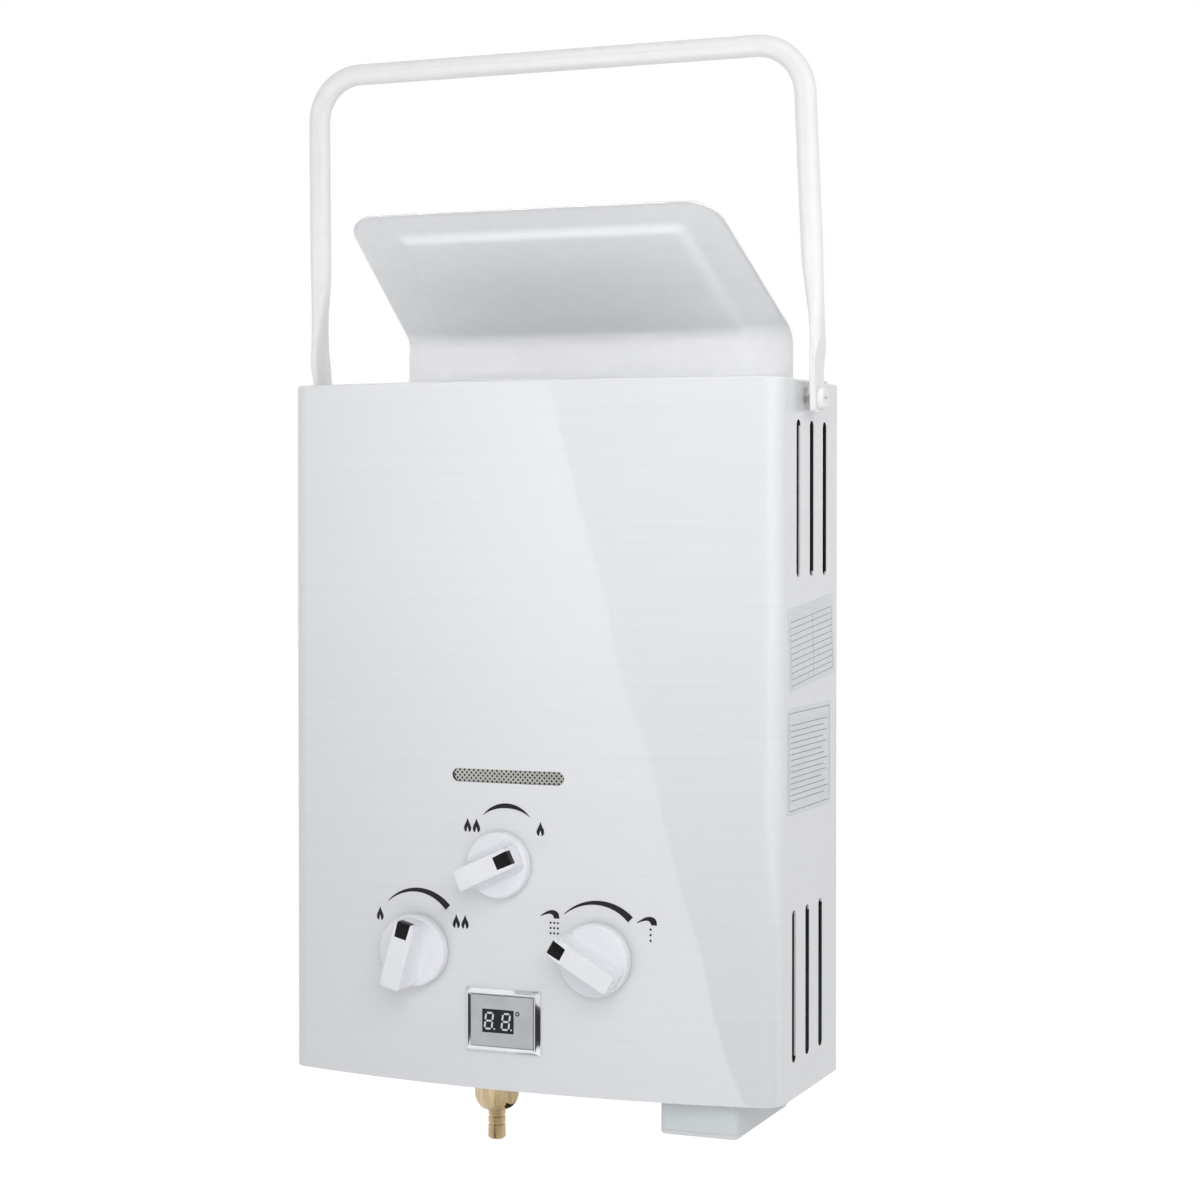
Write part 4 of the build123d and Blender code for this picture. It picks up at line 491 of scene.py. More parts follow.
PRESSED_RISES = tuple(18 + 1.5 * step for step in range(44))
LEG_RISES = (100, 120, 140, LEG_TOP)
BEND_STEPS = 18
BAR_STOPS = (80, 40, 0)  # x
HANDLE_POINTS = 64


def over_rise(first, last, rise, span):
    """From a first to a last value; span is the rise where that starts and its length."""
    start, length = span
    return first + (last - first) * ease((rise - start) / length)


def leg_station(rise):
    """Section of a leg at a rise over the pivot: pressed flat at its foot, round higher up."""
    x = TAB_X - (TAB_X - LEG_X) * max(0.0, rise - LEAN_IN_FROM) / (LEG_TOP - LEAN_IN_FROM)
    inner = over_rise(TAB_HALF_THICKNESS, TUBE_RADIUS, rise, INNER_SWELL)
    outer = min(over_rise(TAB_HALF_THICKNESS, TUBE_RADIUS, rise, OUTER_SWELL), HANDLE_SIDE - x)
    cut = TAB_HALF_THICKNESS + CREASE_SLOPE * max(0.0, rise - CREASE_FROM)
    breadth = over_rise(TAB_HALF_BREADTH, TUBE_RADIUS, rise, BREADTH_FALL)
    from_end = rise + TAB_BELOW
    if from_end < TAB_CORNER:
        breadth -= TAB_CORNER - math.sqrt(TAB_CORNER**2 - (TAB_CORNER - from_end) ** 2)
    squareness = over_rise(TAB_SQUARENESS, CIRCLE, rise, EDGE_ROUNDING)
    return x, rise, 0.0, inner, outer, cut, breadth, squareness


def handle_stations():
    """Sections from the right tab's end to the middle of the bar."""
    stations = [leg_station(rise) for rise in TAB_RISES + PRESSED_RISES + LEG_RISES]
    tube = (TUBE_RADIUS, TUBE_RADIUS, TUBE_RADIUS, TUBE_RADIUS, CIRCLE)
    for step in range(1, BEND_STEPS + 1):
        turn = math.radians(90 / BEND_STEPS * step)
        x = LEG_X - HANDLE_BEND + HANDLE_BEND * math.cos(turn)
        rise = LEG_TOP + HANDLE_BEND * math.sin(turn)
        stations.append((x, rise, turn, *tube))
    for x in BAR_STOPS:
        stations.append((x, HANDLE_RISE, math.pi / 2, *tube))
    return stations


def handle_ring(station, side):
    """The points of one section; side is 1 on the right and -1 on the mirrored left."""
    x, rise, turn, inner, outer, cut, breadth, squareness = station
    up = Vector((0, -math.sin(HANDLE_LEAN), math.cos(HANDLE_LEAN)))
    front = Vector((0, -math.cos(HANDLE_LEAN), -math.sin(HANDLE_LEAN)))
    away = Vector((math.cos(turn), 0, 0)) + up * math.sin(turn)
    centre = HANDLE_PIVOT + Vector((x, 0, 0)) + up * rise
    ring = []
    for index in range(HANDLE_POINTS):
        across, along = super_unit(2 * math.pi * index / HANDLE_POINTS, squareness)
        depth = min(across * outer, cut) if across > 0 else across * inner
        point = centre + away * depth + front * along * breadth
        ring.append(Vector((side * point.x, point.y, point.z)) * MM)
    return ring


def build_handle():
    """The bent tube whose feet are pressed flat and creased."""
    right = handle_stations()
    rings = [handle_ring(station, 1) for station in right]
    rings += [handle_ring(station, -1) for station in reversed(right[:-1])]
    mesh = bmesh.new()
    add_loft(mesh, rings)
    handle = finish_piece("bail", mesh, "handle", "white_bail", sharp_angle=40)
    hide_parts("carry_handle")


# ---- rain cap

CAP_FOOT_Z = 12.0
CAP_UPRIGHT = 44.1  # from the foot to the bend
CAP_BEND = 13.0
CAP_TURN = math.radians(58.9)
CAP_CANOPY = 114.0  # from the bend to the front edge
CAP_HALF_REAR = 120.0
CAP_HALF_FRONT = 108.8
CAP_CORNER = 18.0
CAP_SHEET = 1.0
CAP_REAR_Y = -1.2  # its rear face, against the back plate's inner side
CAP_SIDE_BORDER = 27.0
CAP_FRONT_BORDER = 22.0
CAP_EMBOSS = 2.2
CAP_SLOPE = 8.0  # breadth of the raised panel's slopes
CAP_PANEL_FOOT = 29.0  # run from the foot to the raised panel
CAP_FOOT_SLOPE = 6.0
CAP_CURL = 1.3  # of the rim downwards
CAP_CURL_REACH = 2.6
CAP_RUN = CAP_UPRIGHT + CAP_BEND * CAP_TURN + CAP_CANOPY
CAP_COLUMNS = 128
CAP_ROW_STEP = 1.9
CAP_FIRST_ROW = 0.5  # least run of the row after the foot
CAP_CORNER_STEPS = 18


def cap_profile(run):
    """Place (y, z) and lower normal of the cap's mid-surface after a run from its foot."""
    y, z = CAP_REAR_Y - CAP_SHEET / 2, CAP_FOOT_Z + min(run, CAP_UPRIGHT)
    turn = min(max(run - CAP_UPRIGHT, 0.0) / CAP_BEND, CAP_TURN)
    y -= CAP_BEND * (1 - math.cos(turn))
    z += CAP_BEND * math.sin(turn)
    rest = max(0.0, run - CAP_UPRIGHT - CAP_BEND * CAP_TURN)
    return y - rest * math.sin(turn), z + rest * math.cos(turn), -math.cos(turn), -math.sin(turn)


def cap_point(run, share, level):
    """A point of the cap's skin: share across is -1 to 1, level is -1 behind or 1 in front."""
    taper = min(max((run - CAP_UPRIGHT) / (CAP_RUN - CAP_UPRIGHT), 0.0), 1.0)
    side = CAP_HALF_REAR + (CAP_HALF_FRONT - CAP_HALF_REAR) * taper
    ahead = CAP_RUN - run
    width = side
    if ahead < CAP_CORNER:
        width -= CAP_CORNER - math.sqrt(CAP_CORNER**2 - (CAP_CORNER - ahead) ** 2)
    x = share * width
    from_side = ease((side - abs(x) - CAP_SIDE_BORDER + CAP_SLOPE / 2) / CAP_SLOPE)
    from_front = ease((ahead - CAP_FRONT_BORDER + CAP_SLOPE / 2) / CAP_SLOPE)
    from_foot = ease((run - CAP_PANEL_FOOT + CAP_FOOT_SLOPE / 2) / CAP_FOOT_SLOPE)
    emboss = CAP_EMBOSS * from_side * from_front * from_foot
    rim = min(width - abs(x), ahead)
    curl = CAP_CURL * max(0.0, 1 - rim / CAP_CURL_REACH) ** 2
    y, z, normal_y, normal_z = cap_profile(run)
    shift = emboss + curl + level * CAP_SHEET / 2
    return Vector((x, y + shift * normal_y, z + shift * normal_z)) * MM


def cap_runs():
    """Runs of the cap's rows: even ones up to the round corners, closer ones through them."""
    corner = CAP_RUN - CAP_CORNER
    last = int((corner - CAP_FIRST_ROW) / CAP_ROW_STEP)
    runs = [0.0] + [corner - CAP_ROW_STEP * step for step in range(last, -1, -1)]
    for step in range(1, CAP_CORNER_STEPS + 1):
        turn = math.pi / 2 * step / CAP_CORNER_STEPS
        runs.append(CAP_RUN - CAP_CORNER * (1 - math.sin(turn)))
    return runs


def build_rain_cap():
    """The stamped cap: a bent sheet with a raised panel, round front corners and a curled rim."""
    shares = [2 * column / CAP_COLUMNS - 1 for column in range(CAP_COLUMNS + 1)]
    mesh = bmesh.new()
    grids = []
    for level in (1, -1):
        rows = [
            [mesh.verts.new(cap_point(run, share, level)) for share in shares] for run in cap_runs()
        ]
        for low, high in zip(rows, rows[1:]):
            for c in range(CAP_COLUMNS):
                mesh.faces.new((low[c], low[c + 1], high[c + 1], high[c]))
        grids.append(rows)
    borders = []
    for rows in grids:
        loop = list(rows[0]) + [row[-1] for row in rows[1:]]
        loop += list(reversed(rows[-1][:-1])) + [row[0] for row in reversed(rows[1:-1])]
        borders.append(loop)
    join_rings(mesh, *borders)
    cap = finish_piece("stamped_cap", mesh, "heater", "white_steel", sharp_angle=50)
    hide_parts("rain_cap")


# ---- knobs

KNOBS = (  # knob, insert, body, centre, disc radius, grip (length, width), angle at rest
    ("season_knob", "season_pointer", "season_control", (-8, -230), 18.0, (34.0, 11.7), 65),
    ("gas_knob", "gas_pointer", "gas_control", (-59.5, -279.5), 19.7, (37.0, 12.0), 15),
    ("water_knob", "water_pointer", "water_control", (48, -278), 19.7, (38.6, 11.0), -60),
)
KNOB_POINTS = 144
KNOB_DISC = 7.0  # height of the disc
KNOB_CHAMFER = 0.7  # at the disc's foot
KNOB_RIM = 2.0  # round of the disc's front edge
KNOB_CONE = 0.25  # rise of the disc's face towards the grip
GRIP_STEP = 0.3  # from the disc up to the grip's flanks
GRIP_FLARE = 3.4  # of each flank at its foot
FLARE_POWER = 2.6
GRIP_FOOT_LONGER = 0.4  # the grip's foot past its top, if the disc has room
END_POWER = 6
FLANK_START = 0.35  # share of the height that is climbed evenly
SQUARING_PACE = 1.5
FOOT_SQUARENESS = 5
GRIP_SQUARENESS = 14
TOP_SQUARENESS = 8
GRIP_ROUND = 0.8  # of the top's edges
END_ROUND_RATIO = 1.6  # the same lengthwise
TOP_END_INSET = 1.3
GRIP_CROWN = 0.5  # fall of the top at its ends
CROWN_POWER = 8
RIM_STEPS = 6
CONE_STEPS = 5
FLANK_STEPS = 14
ROUND_STEPS = 4
TOP_SHARES = (0.75, 0.5, 0.25, 0.05)
INSERT_HALF_WIDTH = 3.8
INSERT_LENGTH = 8.6
INSERT_DEPTH = 6.0
INSERT_CHAMFER = 0.7
INSERT_PROUD = 0.15
INSERT_EDGE = 0.25
PIP_OFFSET = (4.5, 12.6)  # x, z from the season knob's centre
PIP_PROFILE = (  # radius, height
    (1.3, KNOB_DISC - 1.0), (1.3, KNOB_DISC + 0.3), (1.1, KNOB_DISC + 0.5), (0.5, KNOB_DISC + 0.6)
)
PIP_POINTS = 32


def full_turn(points):
    """Evenly spread angles of one turn."""
    return [2 * math.pi * index / points for index in range(points)]


def knob_frame(centre, node, angle):
    """Places local (along the pointer, beside it, height) points on a knob."""
    back_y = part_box(node)[1].y / MM
    turn = math.radians(angle)

    def place(along, beside, height):
        x = centre[0] + along * math.sin(turn) + beside * math.cos(turn)
        z = centre[1] + along * math.cos(turn) - beside * math.sin(turn)
        return Vector((x, back_y - height, z)) * MM

    return place


def knob_rings(place, radius, half_length, half_width, height):
    """Rings from the foot of the disc, over its rim and up the flanks of the grip to its top."""
    turns = full_turn(KNOB_POINTS)

    def circle(r, h):
        return [place(r * math.cos(turn), r * math.sin(turn), h) for turn in turns]

    def bar(length, width, squareness, h, crown=0.0):
        ring = []
        for turn in turns:
            c, s = abs(math.cos(turn)) / length, abs(math.sin(turn)) / width
            reach = (c**squareness + s**squareness) ** (-1 / squareness)
            along, beside = reach * math.cos(turn), reach * math.sin(turn)
            ring.append(place(along, beside, h - crown * (along / half_length) ** CROWN_POWER))
        return ring

    rings = [circle(radius - KNOB_CHAMFER, 0.0), circle(radius, KNOB_CHAMFER)]
    rings.append(circle(radius, KNOB_DISC - KNOB_RIM))
    for step in range(1, RIM_STEPS + 1):
        bend = math.radians(90 / RIM_STEPS * step)
        inset, drop = KNOB_RIM * (1 - math.cos(bend)), KNOB_RIM * (1 - math.sin(bend))
        rings.append(circle(radius - inset, KNOB_DISC - drop))
    disc_edge = radius - KNOB_RIM
    foot_length = min(half_length + GRIP_FOOT_LONGER, disc_edge)
    for step in range(1, CONE_STEPS):
        share = step / CONE_STEPS
        squareness = CIRCLE + (FOOT_SQUARENESS - CIRCLE) * share
        length = disc_edge + (foot_length - disc_edge) * share
        width = disc_edge + (half_width + GRIP_FLARE - disc_edge) * share
        rings.append(bar(length, width, squareness, KNOB_DISC + KNOB_CONE * share))
    top = height - GRIP_ROUND
    for step in range(FLANK_STEPS + 1):
        share = step / FLANK_STEPS
        climbed = FLANK_START * share + (1 - FLANK_START) * share * share
        level = KNOB_DISC + GRIP_STEP + (top - KNOB_DISC - GRIP_STEP) * climbed
        length = half_length + (foot_length - half_length) * (1 - share) ** END_POWER
        width = half_width + GRIP_FLARE * (1 - share) ** FLARE_POWER
        squared = ease(share * SQUARING_PACE)
        squareness = FOOT_SQUARENESS + (GRIP_SQUARENESS - FOOT_SQUARENESS) * squared
        rings.append(bar(length, width, squareness, level))
    for step in range(1, ROUND_STEPS + 1):
        bend = math.radians(90 / ROUND_STEPS * step)
        inset, rise = GRIP_ROUND * (1 - math.cos(bend)), GRIP_ROUND * math.sin(bend)
        length, width = half_length - END_ROUND_RATIO * inset, half_width - inset
        rings.append(bar(length, width, GRIP_SQUARENESS, top + rise, GRIP_CROWN))
    for share in TOP_SHARES:
        length, width = (half_length - TOP_END_INSET) * share, (half_width - GRIP_ROUND) * share
        rings.append(bar(length, width, TOP_SQUARENESS, height, GRIP_CROWN))
    return rings


def build_knob(knob, insert, body, centre, radius, grip, angle):
    """A white knob with a flared grip and its black pointer insert."""
    low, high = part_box(knob)
    height = (high.y - low.y) / MM
    place = knob_frame(centre, knob, angle)
    half_length, half_width = grip[0] / 2, grip[1] / 2
    mesh = bmesh.new()
    add_loft(mesh, knob_rings(place, radius, half_length, half_width, height))
    white = finish_piece(knob + "_shaped", mesh, body, "white_plastic", sharp_angle=32)
    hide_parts(knob)
    tip, rear, foot = half_length + INSERT_PROUD, half_length - INSERT_LENGTH, height - INSERT_DEPTH
    profile = (
        (rear, height), (tip - INSERT_CHAMFER, height), (tip, height - INSERT_CHAMFER),
        (tip, foot), (rear, foot),
    )
    mesh = bmesh.new()
    sides = [
        [mesh.verts.new(place(along, beside, rise)) for along, rise in profile]
        for beside in (-INSERT_HALF_WIDTH, INSERT_HALF_WIDTH)
    ]
    mesh.faces.new(sides[0])
    mesh.faces.new(list(reversed(sides[1])))
    join_rings(mesh, *sides)
    bmesh.ops.bevel(
        mesh, geom=list(mesh.edges), offset=INSERT_EDGE * MM, segments=2, profile=0.5,
        affect="EDGES", clamp_overlap=True,
    )
    black = finish_piece(insert + "_shaped", mesh, body, "black_plastic", sharp_angle=32)
    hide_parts(insert)


def build_knobs():
    """The three knobs at rest, and the pip on the season knob's disc."""
    for knob in KNOBS:
        build_knob(*knob)
    centre = KNOBS[0][3]
    place = knob_frame((centre[0] + PIP_OFFSET[0], centre[1] + PIP_OFFSET[1]), "season_knob", 0)
    turns = full_turn(PIP_POINTS)
    rings = [
        [place(radius * math.cos(turn), radius * math.sin(turn), height) for turn in turns]
        for radius, height in PIP_PROFILE
    ]
    mesh = bmesh.new()
    add_loft(mesh, rings)
    finish_piece("season_pip", mesh, "season_control", "white_plastic", sharp_angle=40)


# ---- display bezel

BEZEL_PROFILE = (
    (0, -1.5), (0, 0.5), (0.15, 0.75), (1.9, 2.95), (2.15, 3.14), (2.4, 3.14), (2.65, 2.95),
    (3.6, 1.7), (3.7, 1.5), (3.7, 0.6), (3.7, -1.5),
)  # inset from the outer edge, height over the panel
BEZEL_RISE = 3.2  # of the CAD bezel over the panel
BEZEL_CORNER = 1.0
BEZEL_CORNER_FALL = 0.2  # per millimetre of inset
BEZEL_CORNER_LEAST = 0.3
BEZEL_CORNER_STEPS = 4
BEZEL_WELD = 0.001
QUARTERS = ((1, 1), (-1, 1), (-1, -1), (1, -1))  # signs of x and z


def build_bezel():
    """The plated frame: an outer slope up to a ridge, an inner slope down to the face."""
    low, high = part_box("display_bezel")
    base_y = low.y / MM + BEZEL_RISE
    middle_x, middle_z = (low.x + high.x) / 2 / MM, (low.z + high.z) / 2 / MM
    half_x, half_z = (high.x - low.x) / 2 / MM, (high.z - low.z) / 2 / MM
    rings = []
    for inset, rise in BEZEL_PROFILE:
        corner = max(BEZEL_CORNER - BEZEL_CORNER_FALL * inset, BEZEL_CORNER_LEAST)
        ring = []
        for quarter, (sx, sz) in enumerate(QUARTERS):
            for step in range(BEZEL_CORNER_STEPS + 1):
                turn = math.radians(90 * quarter + 90 / BEZEL_CORNER_STEPS * step)
                x = sx * (half_x - inset - corner) + corner * math.cos(turn)
                z = sz * (half_z - inset - corner) + corner * math.sin(turn)
                ring.append(Vector((middle_x + x, base_y - rise, middle_z + z)) * MM)
        rings.append(ring)
    mesh = bmesh.new()
    add_loft(mesh, rings + rings[:1], capped=False)
    bmesh.ops.remove_doubles(mesh, verts=mesh.verts, dist=BEZEL_WELD * MM)
    bezel = finish_piece("mitred_bezel", mesh, "heater", "bright_trim", sharp_angle=22)
    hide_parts("display_bezel")


# ---- flame window screen

SCREEN_DEPTH = 1.2  # behind the panel's face
SCREEN_THICKNESS = 0.5
SCREEN_STEPS = 32


def build_screen():
    """The perforated strip behind the flame window, bowed like the panel."""
    low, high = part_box("flame_window_grille")
    rings = []
    for step in range(SCREEN_STEPS + 1):
        x = low.x + (high.x - low.x) * step / SCREEN_STEPS
        front = front_y(x) + SCREEN_DEPTH * MM
        back = front + SCREEN_THICKNESS * MM
        section = ((front, low.z), (front, high.z), (back, high.z), (back, low.z))
        rings.append([Vector((x, y, z)) for y, z in section])
    mesh = bmesh.new()
    add_loft(mesh, rings)
    screen = finish_piece("window_screen", mesh, "heater", "stainless_mesh", sharp_angle=30)
    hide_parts("flame_window_grille")


# ---- prints on the front

PRINT_PROUD = 0.06  # ink above the panel
PRINT_SUNK = 0.15  # its hidden underside, inside the panel
ARC_STEPS = 28
POINTED_TIP, POINTED_SWELL = 0.15, 2.5
GROWING_TIP, GROWING_SWELL, GROWING_POWER = 0.3, 3.6, 0.8
FLAME_HALF = (
    (0.06, 0.34), (0.15, 0.14), (0.25, -0.04), (0.30, -0.22), (0.27, -0.38),
    (0.18, -0.50), (0.09, -0.50), (0.08, -0.38), (0.045, -0.25), (0.01, -0.13),
)  # right half of a flame of height 1, from below its tip round to the notch in its foot
FLAME_HEIGHT = 7.5
FLAME_PLACES = (
    (-28.4, -209.7), (-23.0, -209.7), (15.0, -209.9),
    (-84.0, -261.7), (-35.4, -262.7), (-30.0, -262.7),
)
SHOWER_HEAD = (
    (-5.5, -0.9), (-3.5, 0.4), (-1.5, 1.6), (0.5, 2.3), (2.5, 2.3), (4.2, 1.6), (5.2, 0.2),
    (5.5, -2.2), (2.4, -2.2), (2.2, -1.6), (1.6, -0.4), (0.4, 0.2), (-1.0, 0.1), (-3.0, -0.4),
    (-5.3, -1.3),
)  # a thin tail that thickens to a drooping rose
SHOWER_PLACES = ((20.5, -255.6), (75.0, -256.6))
DOT_SIDES = 12
DROP_RADIUS = 0.62
SPRAY_TOP, SPRAY_PITCH = (23.0, -260.2), (2.1, 2.8)
TRICKLE_TOP, TRICKLE_PITCH = (77.0, -261.0), 3.0
DROP_ROWS = (0, 1, 2)


def on_front(x, z, level):
    """A point of a print on the bowed front, x and z in millimetres."""
    lift = PRINT_PROUD if level else -PRINT_SUNK
    return Vector((x * MM, front_y(x * MM) - lift * MM, z * MM))


def crescent(centre, radius, half_angle, thickness_at, steps=ARC_STEPS):
    """Pairs of (outer, inner) points along an arc of changing thickness."""
    stations = []
    for step in range(steps + 1):
        share = step / steps
        turn = math.radians(-half_angle + 2 * half_angle * share)
        radii = (radius, radius - thickness_at(share))
        stations.append(
            [(centre[0] + r * math.sin(turn), centre[1] + r * math.cos(turn)) for r in radii]
        )
    return stations


def add_ribbon(mesh, stations, place):
    """A closed thin band through stations of (outer, inner) points."""
    rows = [
        [mesh.verts.new(place(*point, level)) for point in pair for level in (0, 1)]
        for pair in stations
    ]
    for one, two in zip(rows, rows[1:]):
        outer_back, outer_front, inner_back, inner_front = one
        next_outer_back, next_outer_front, next_inner_back, next_inner_front = two
        mesh.faces.new((outer_front, inner_front, next_inner_front, next_outer_front))
        mesh.faces.new((outer_back, next_outer_back, next_inner_back, inner_back))
        mesh.faces.new((outer_back, outer_front, next_outer_front, next_outer_back))
        mesh.faces.new((inner_back, next_inner_back, next_inner_front, inner_front))
    for ends in (rows[0], rows[-1]):
        mesh.faces.new((ends[0], ends[1], ends[3], ends[2]))


def pointed(share):
    """Thickness of the season knob's arc: a point at both ends."""
    return POINTED_TIP + POINTED_SWELL * math.sin(math.pi * share)


def growing(share):
    """Thickness of the two lower arcs: a point that grows to a broad end."""
    return GROWING_TIP + GROWING_SWELL * share**GROWING_POWER


ARCS = (  # centre, radius, half angle in degrees, thickness
    ((-5.05, -214.6), 17.6, 53, pointed),
    ((-59.0, -273.5), 27.5, 46, growing),
    ((47.95, -274.4), 27.4, 45, growing),
)


def flame_outline(x, z):
    """A tall leaf with a pointed tip and a pointed notch in its foot, about its own middle."""
    outline = [(0.0, 0.5), *FLAME_HALF] + [(-px, pz) for px, pz in reversed(FLAME_HALF)]
    return [(x + px * FLAME_HEIGHT, z + pz * FLAME_HEIGHT) for px, pz in outline]


def dot_outline(x, z, radius):
    """A small round dot."""
    turns = full_turn(DOT_SIDES)
    return [(x + radius * math.cos(turn), z + radius * math.sin(turn)) for turn in turns]


def build_prints():
    """Arcs, flames and shower heads printed round the three knobs."""
    prints = bmesh.new()
    for arc in ARCS:
        add_ribbon(prints, crescent(*arc), on_front)
    for x, z in FLAME_PLACES:
        add_prism(prints, flame_outline(x, z), on_front)
    for x, z in SHOWER_PLACES:
        add_prism(prints, [(x + px, z + pz) for px, pz in SHOWER_HEAD], on_front)
    drops = [
        (SPRAY_TOP[0] + SPRAY_PITCH[0] * column, SPRAY_TOP[1] - SPRAY_PITCH[1] * row)
        for column in (-1, 0, 1) for row in DROP_ROWS
    ]
    drops += [(TRICKLE_TOP[0], TRICKLE_TOP[1] - TRICKLE_PITCH * row) for row in DROP_ROWS]
    for x, z in drops:
        add_prism(prints, dot_outline(x, z, DROP_RADIUS), on_front)
    finish_piece("front_prints", prints, "heater", "white_steel", look="black_ink")


# ---- display digits

SEGMENT_PLACES = (  # in half widths and half heights from the digit's middle
    (0, 1, "across"), (0, 0, "across"), (0, -1, "across"),
    (-1, 0.5, "up"), (1, 0.5, "up"), (-1, -0.5, "up"), (1, -0.5, "up"),
)
DIGIT_PROUD = 0.04
DIGIT_SUNK = 0.1
DIGIT_HALF_WIDTH = 2.1
DIGIT_HALF_HEIGHT = 4.3
DIGIT_LEAN = math.tan(math.radians(6.5))
DIGIT_PLACES = (-5.35, 4.65)  # x from the window's middle
BAR = 0.5  # half the thickness of a segment
BAR_GAP = 0.75  # shortening of a segment, in bars
POINT_X = 3.2  # of the decimal point from its digit
POINT_RADIUS = 0.5
DEGREE_PLACE = (2.2, -1.7)  # x, z from the window's upper right corner
DEGREE_RADIUS = 1.25
DEGREE_LINE = 0.65
DEGREE_STEPS = 24


def segment_outline(side, rise, way):
    """The long hexagon of one segment, about the digit's middle and leaning."""
    half = DIGIT_HALF_WIDTH if way == "across" else DIGIT_HALF_HEIGHT / 2
    reach = half - BAR * BAR_GAP
    short = reach - BAR
    outline = []
    for along, beside in (
        (-reach, 0), (-short, BAR), (short, BAR), (reach, 0), (short, -BAR), (-short, -BAR),
    ):
        across, up = (along, beside) if way == "across" else (beside, along)
        x, z = side * DIGIT_HALF_WIDTH + across, rise * DIGIT_HALF_HEIGHT + up
        outline.append((x + DIGIT_LEAN * z, z))
    return outline


def build_digits():
    """Two seven-segment digits with their points on the dark window, and the degree ring."""
    middle_x = (lens_low.x + lens_high.x) / 2 / MM
    middle_z = (lens_low.z + lens_high.z) / 2 / MM
    lens_y = lens_low.y / MM

    def on_lens(x, z, level):
        lift = DIGIT_PROUD if level else -DIGIT_SUNK
        return Vector((x * MM, (lens_y - lift) * MM, z * MM))

    digits = bmesh.new()
    for place in DIGIT_PLACES:
        for segment in SEGMENT_PLACES:
            outline = [(middle_x + place + x, middle_z + z) for x, z in segment_outline(*segment)]
            add_prism(digits, outline, on_lens)
        point_x, point_z = middle_x + place + POINT_X, middle_z - DIGIT_HALF_HEIGHT
        add_prism(digits, dot_outline(point_x, point_z, POINT_RADIUS), on_lens)
    finish_piece("display_digits", digits, "heater", "dark_window", look="segment_light")
    degree = bmesh.new()
    ring_centre = (lens_high.x / MM + DEGREE_PLACE[0], lens_high.z / MM + DEGREE_PLACE[1])
    ring = crescent(ring_centre, DEGREE_RADIUS, 180, lambda share: DEGREE_LINE, DEGREE_STEPS)
    add_ribbon(degree, ring, on_lens)
    finish_piece("degree_ring", degree, "heater", "silver_plastic", look="black_ink")


# ---- label rules

RULE_PROUD = 0.03
RULE_SUNK = 0.1
RATING_CENTRE, RATING_TURN = (-47, -110), 5  # y, z and degrees
RATING_TOP, RATING_FOOT = 15.0, -19  # this and what follows is from the centre
RATING_COLUMNS = (-37, 2, 37)
RATING_ROWS, RATING_PITCH = 11, 3.4
RATING_ROW_HALF, RATING_COLUMN_HALF = 0.18, 0.12  # half thicknesses
NOTICE_CENTRE, NOTICE_TURN = (-51, -172.5), 0
NOTICE_BORDER, NOTICE_BORDER_HALF = (36, 26), 0.2
NOTICE_TOP, NOTICE_SIDE = 19.5, 33
NOTICE_ROWS, NOTICE_PITCH, NOTICE_ROW_HALF = 14, 3.1, 0.22
NOTICE_RAGGED = (7, 12)  # a row ends short by its number times 7, modulo 12


def build_label_rules():
    """Ruled lines on the two blank stickers of the right side."""
    side_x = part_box("side_labels")[1].x / MM
    rules = bmesh.new()

    def on_side(centre, degrees):
        slope = math.radians(degrees)

        def place(y, z, level):
            lift = RULE_PROUD if level else -RULE_SUNK
            turned_y = y * math.cos(slope) - z * math.sin(slope)
            turned_z = y * math.sin(slope) + z * math.cos(slope)
            return Vector(
                ((side_x + lift) * MM, (centre[0] + turned_y) * MM, (centre[1] + turned_z) * MM)
            )

        return place

    def line(low, high, place):
        add_prism(rules, (low, (high[0], low[1]), high, (low[0], high[1])), place)

    rating = on_side(RATING_CENTRE, RATING_TURN)
    half = RATING_ROW_HALF
    for row in range(RATING_ROWS):
        z = RATING_TOP - RATING_PITCH * row
        line((RATING_COLUMNS[0], z - half), (RATING_COLUMNS[-1], z + half), rating)
    half = RATING_COLUMN_HALF
    for y in RATING_COLUMNS:
        line((y - half, RATING_FOOT), (y + half, RATING_TOP), rating)
    notice = on_side(NOTICE_CENTRE, NOTICE_TURN)
    edge_y, edge_z = NOTICE_BORDER
    half = NOTICE_BORDER_HALF
    for z in (-edge_z, edge_z):
        line((-edge_y, z - half), (edge_y, z + half), notice)
    for y in (-edge_y, edge_y):
        line((y - half, -edge_z), (y + half, edge_z), notice)
    half = NOTICE_ROW_HALF
    for row in range(NOTICE_ROWS):
        z = NOTICE_TOP - NOTICE_PITCH * row
        short = row * NOTICE_RAGGED[0] % NOTICE_RAGGED[1]
        line((-NOTICE_SIDE, z - half), (NOTICE_SIDE - short, z + half), notice)
    finish_piece("label_rules", rules, "heater", "label_film", look="grey_ink")


# ---- stage and lights

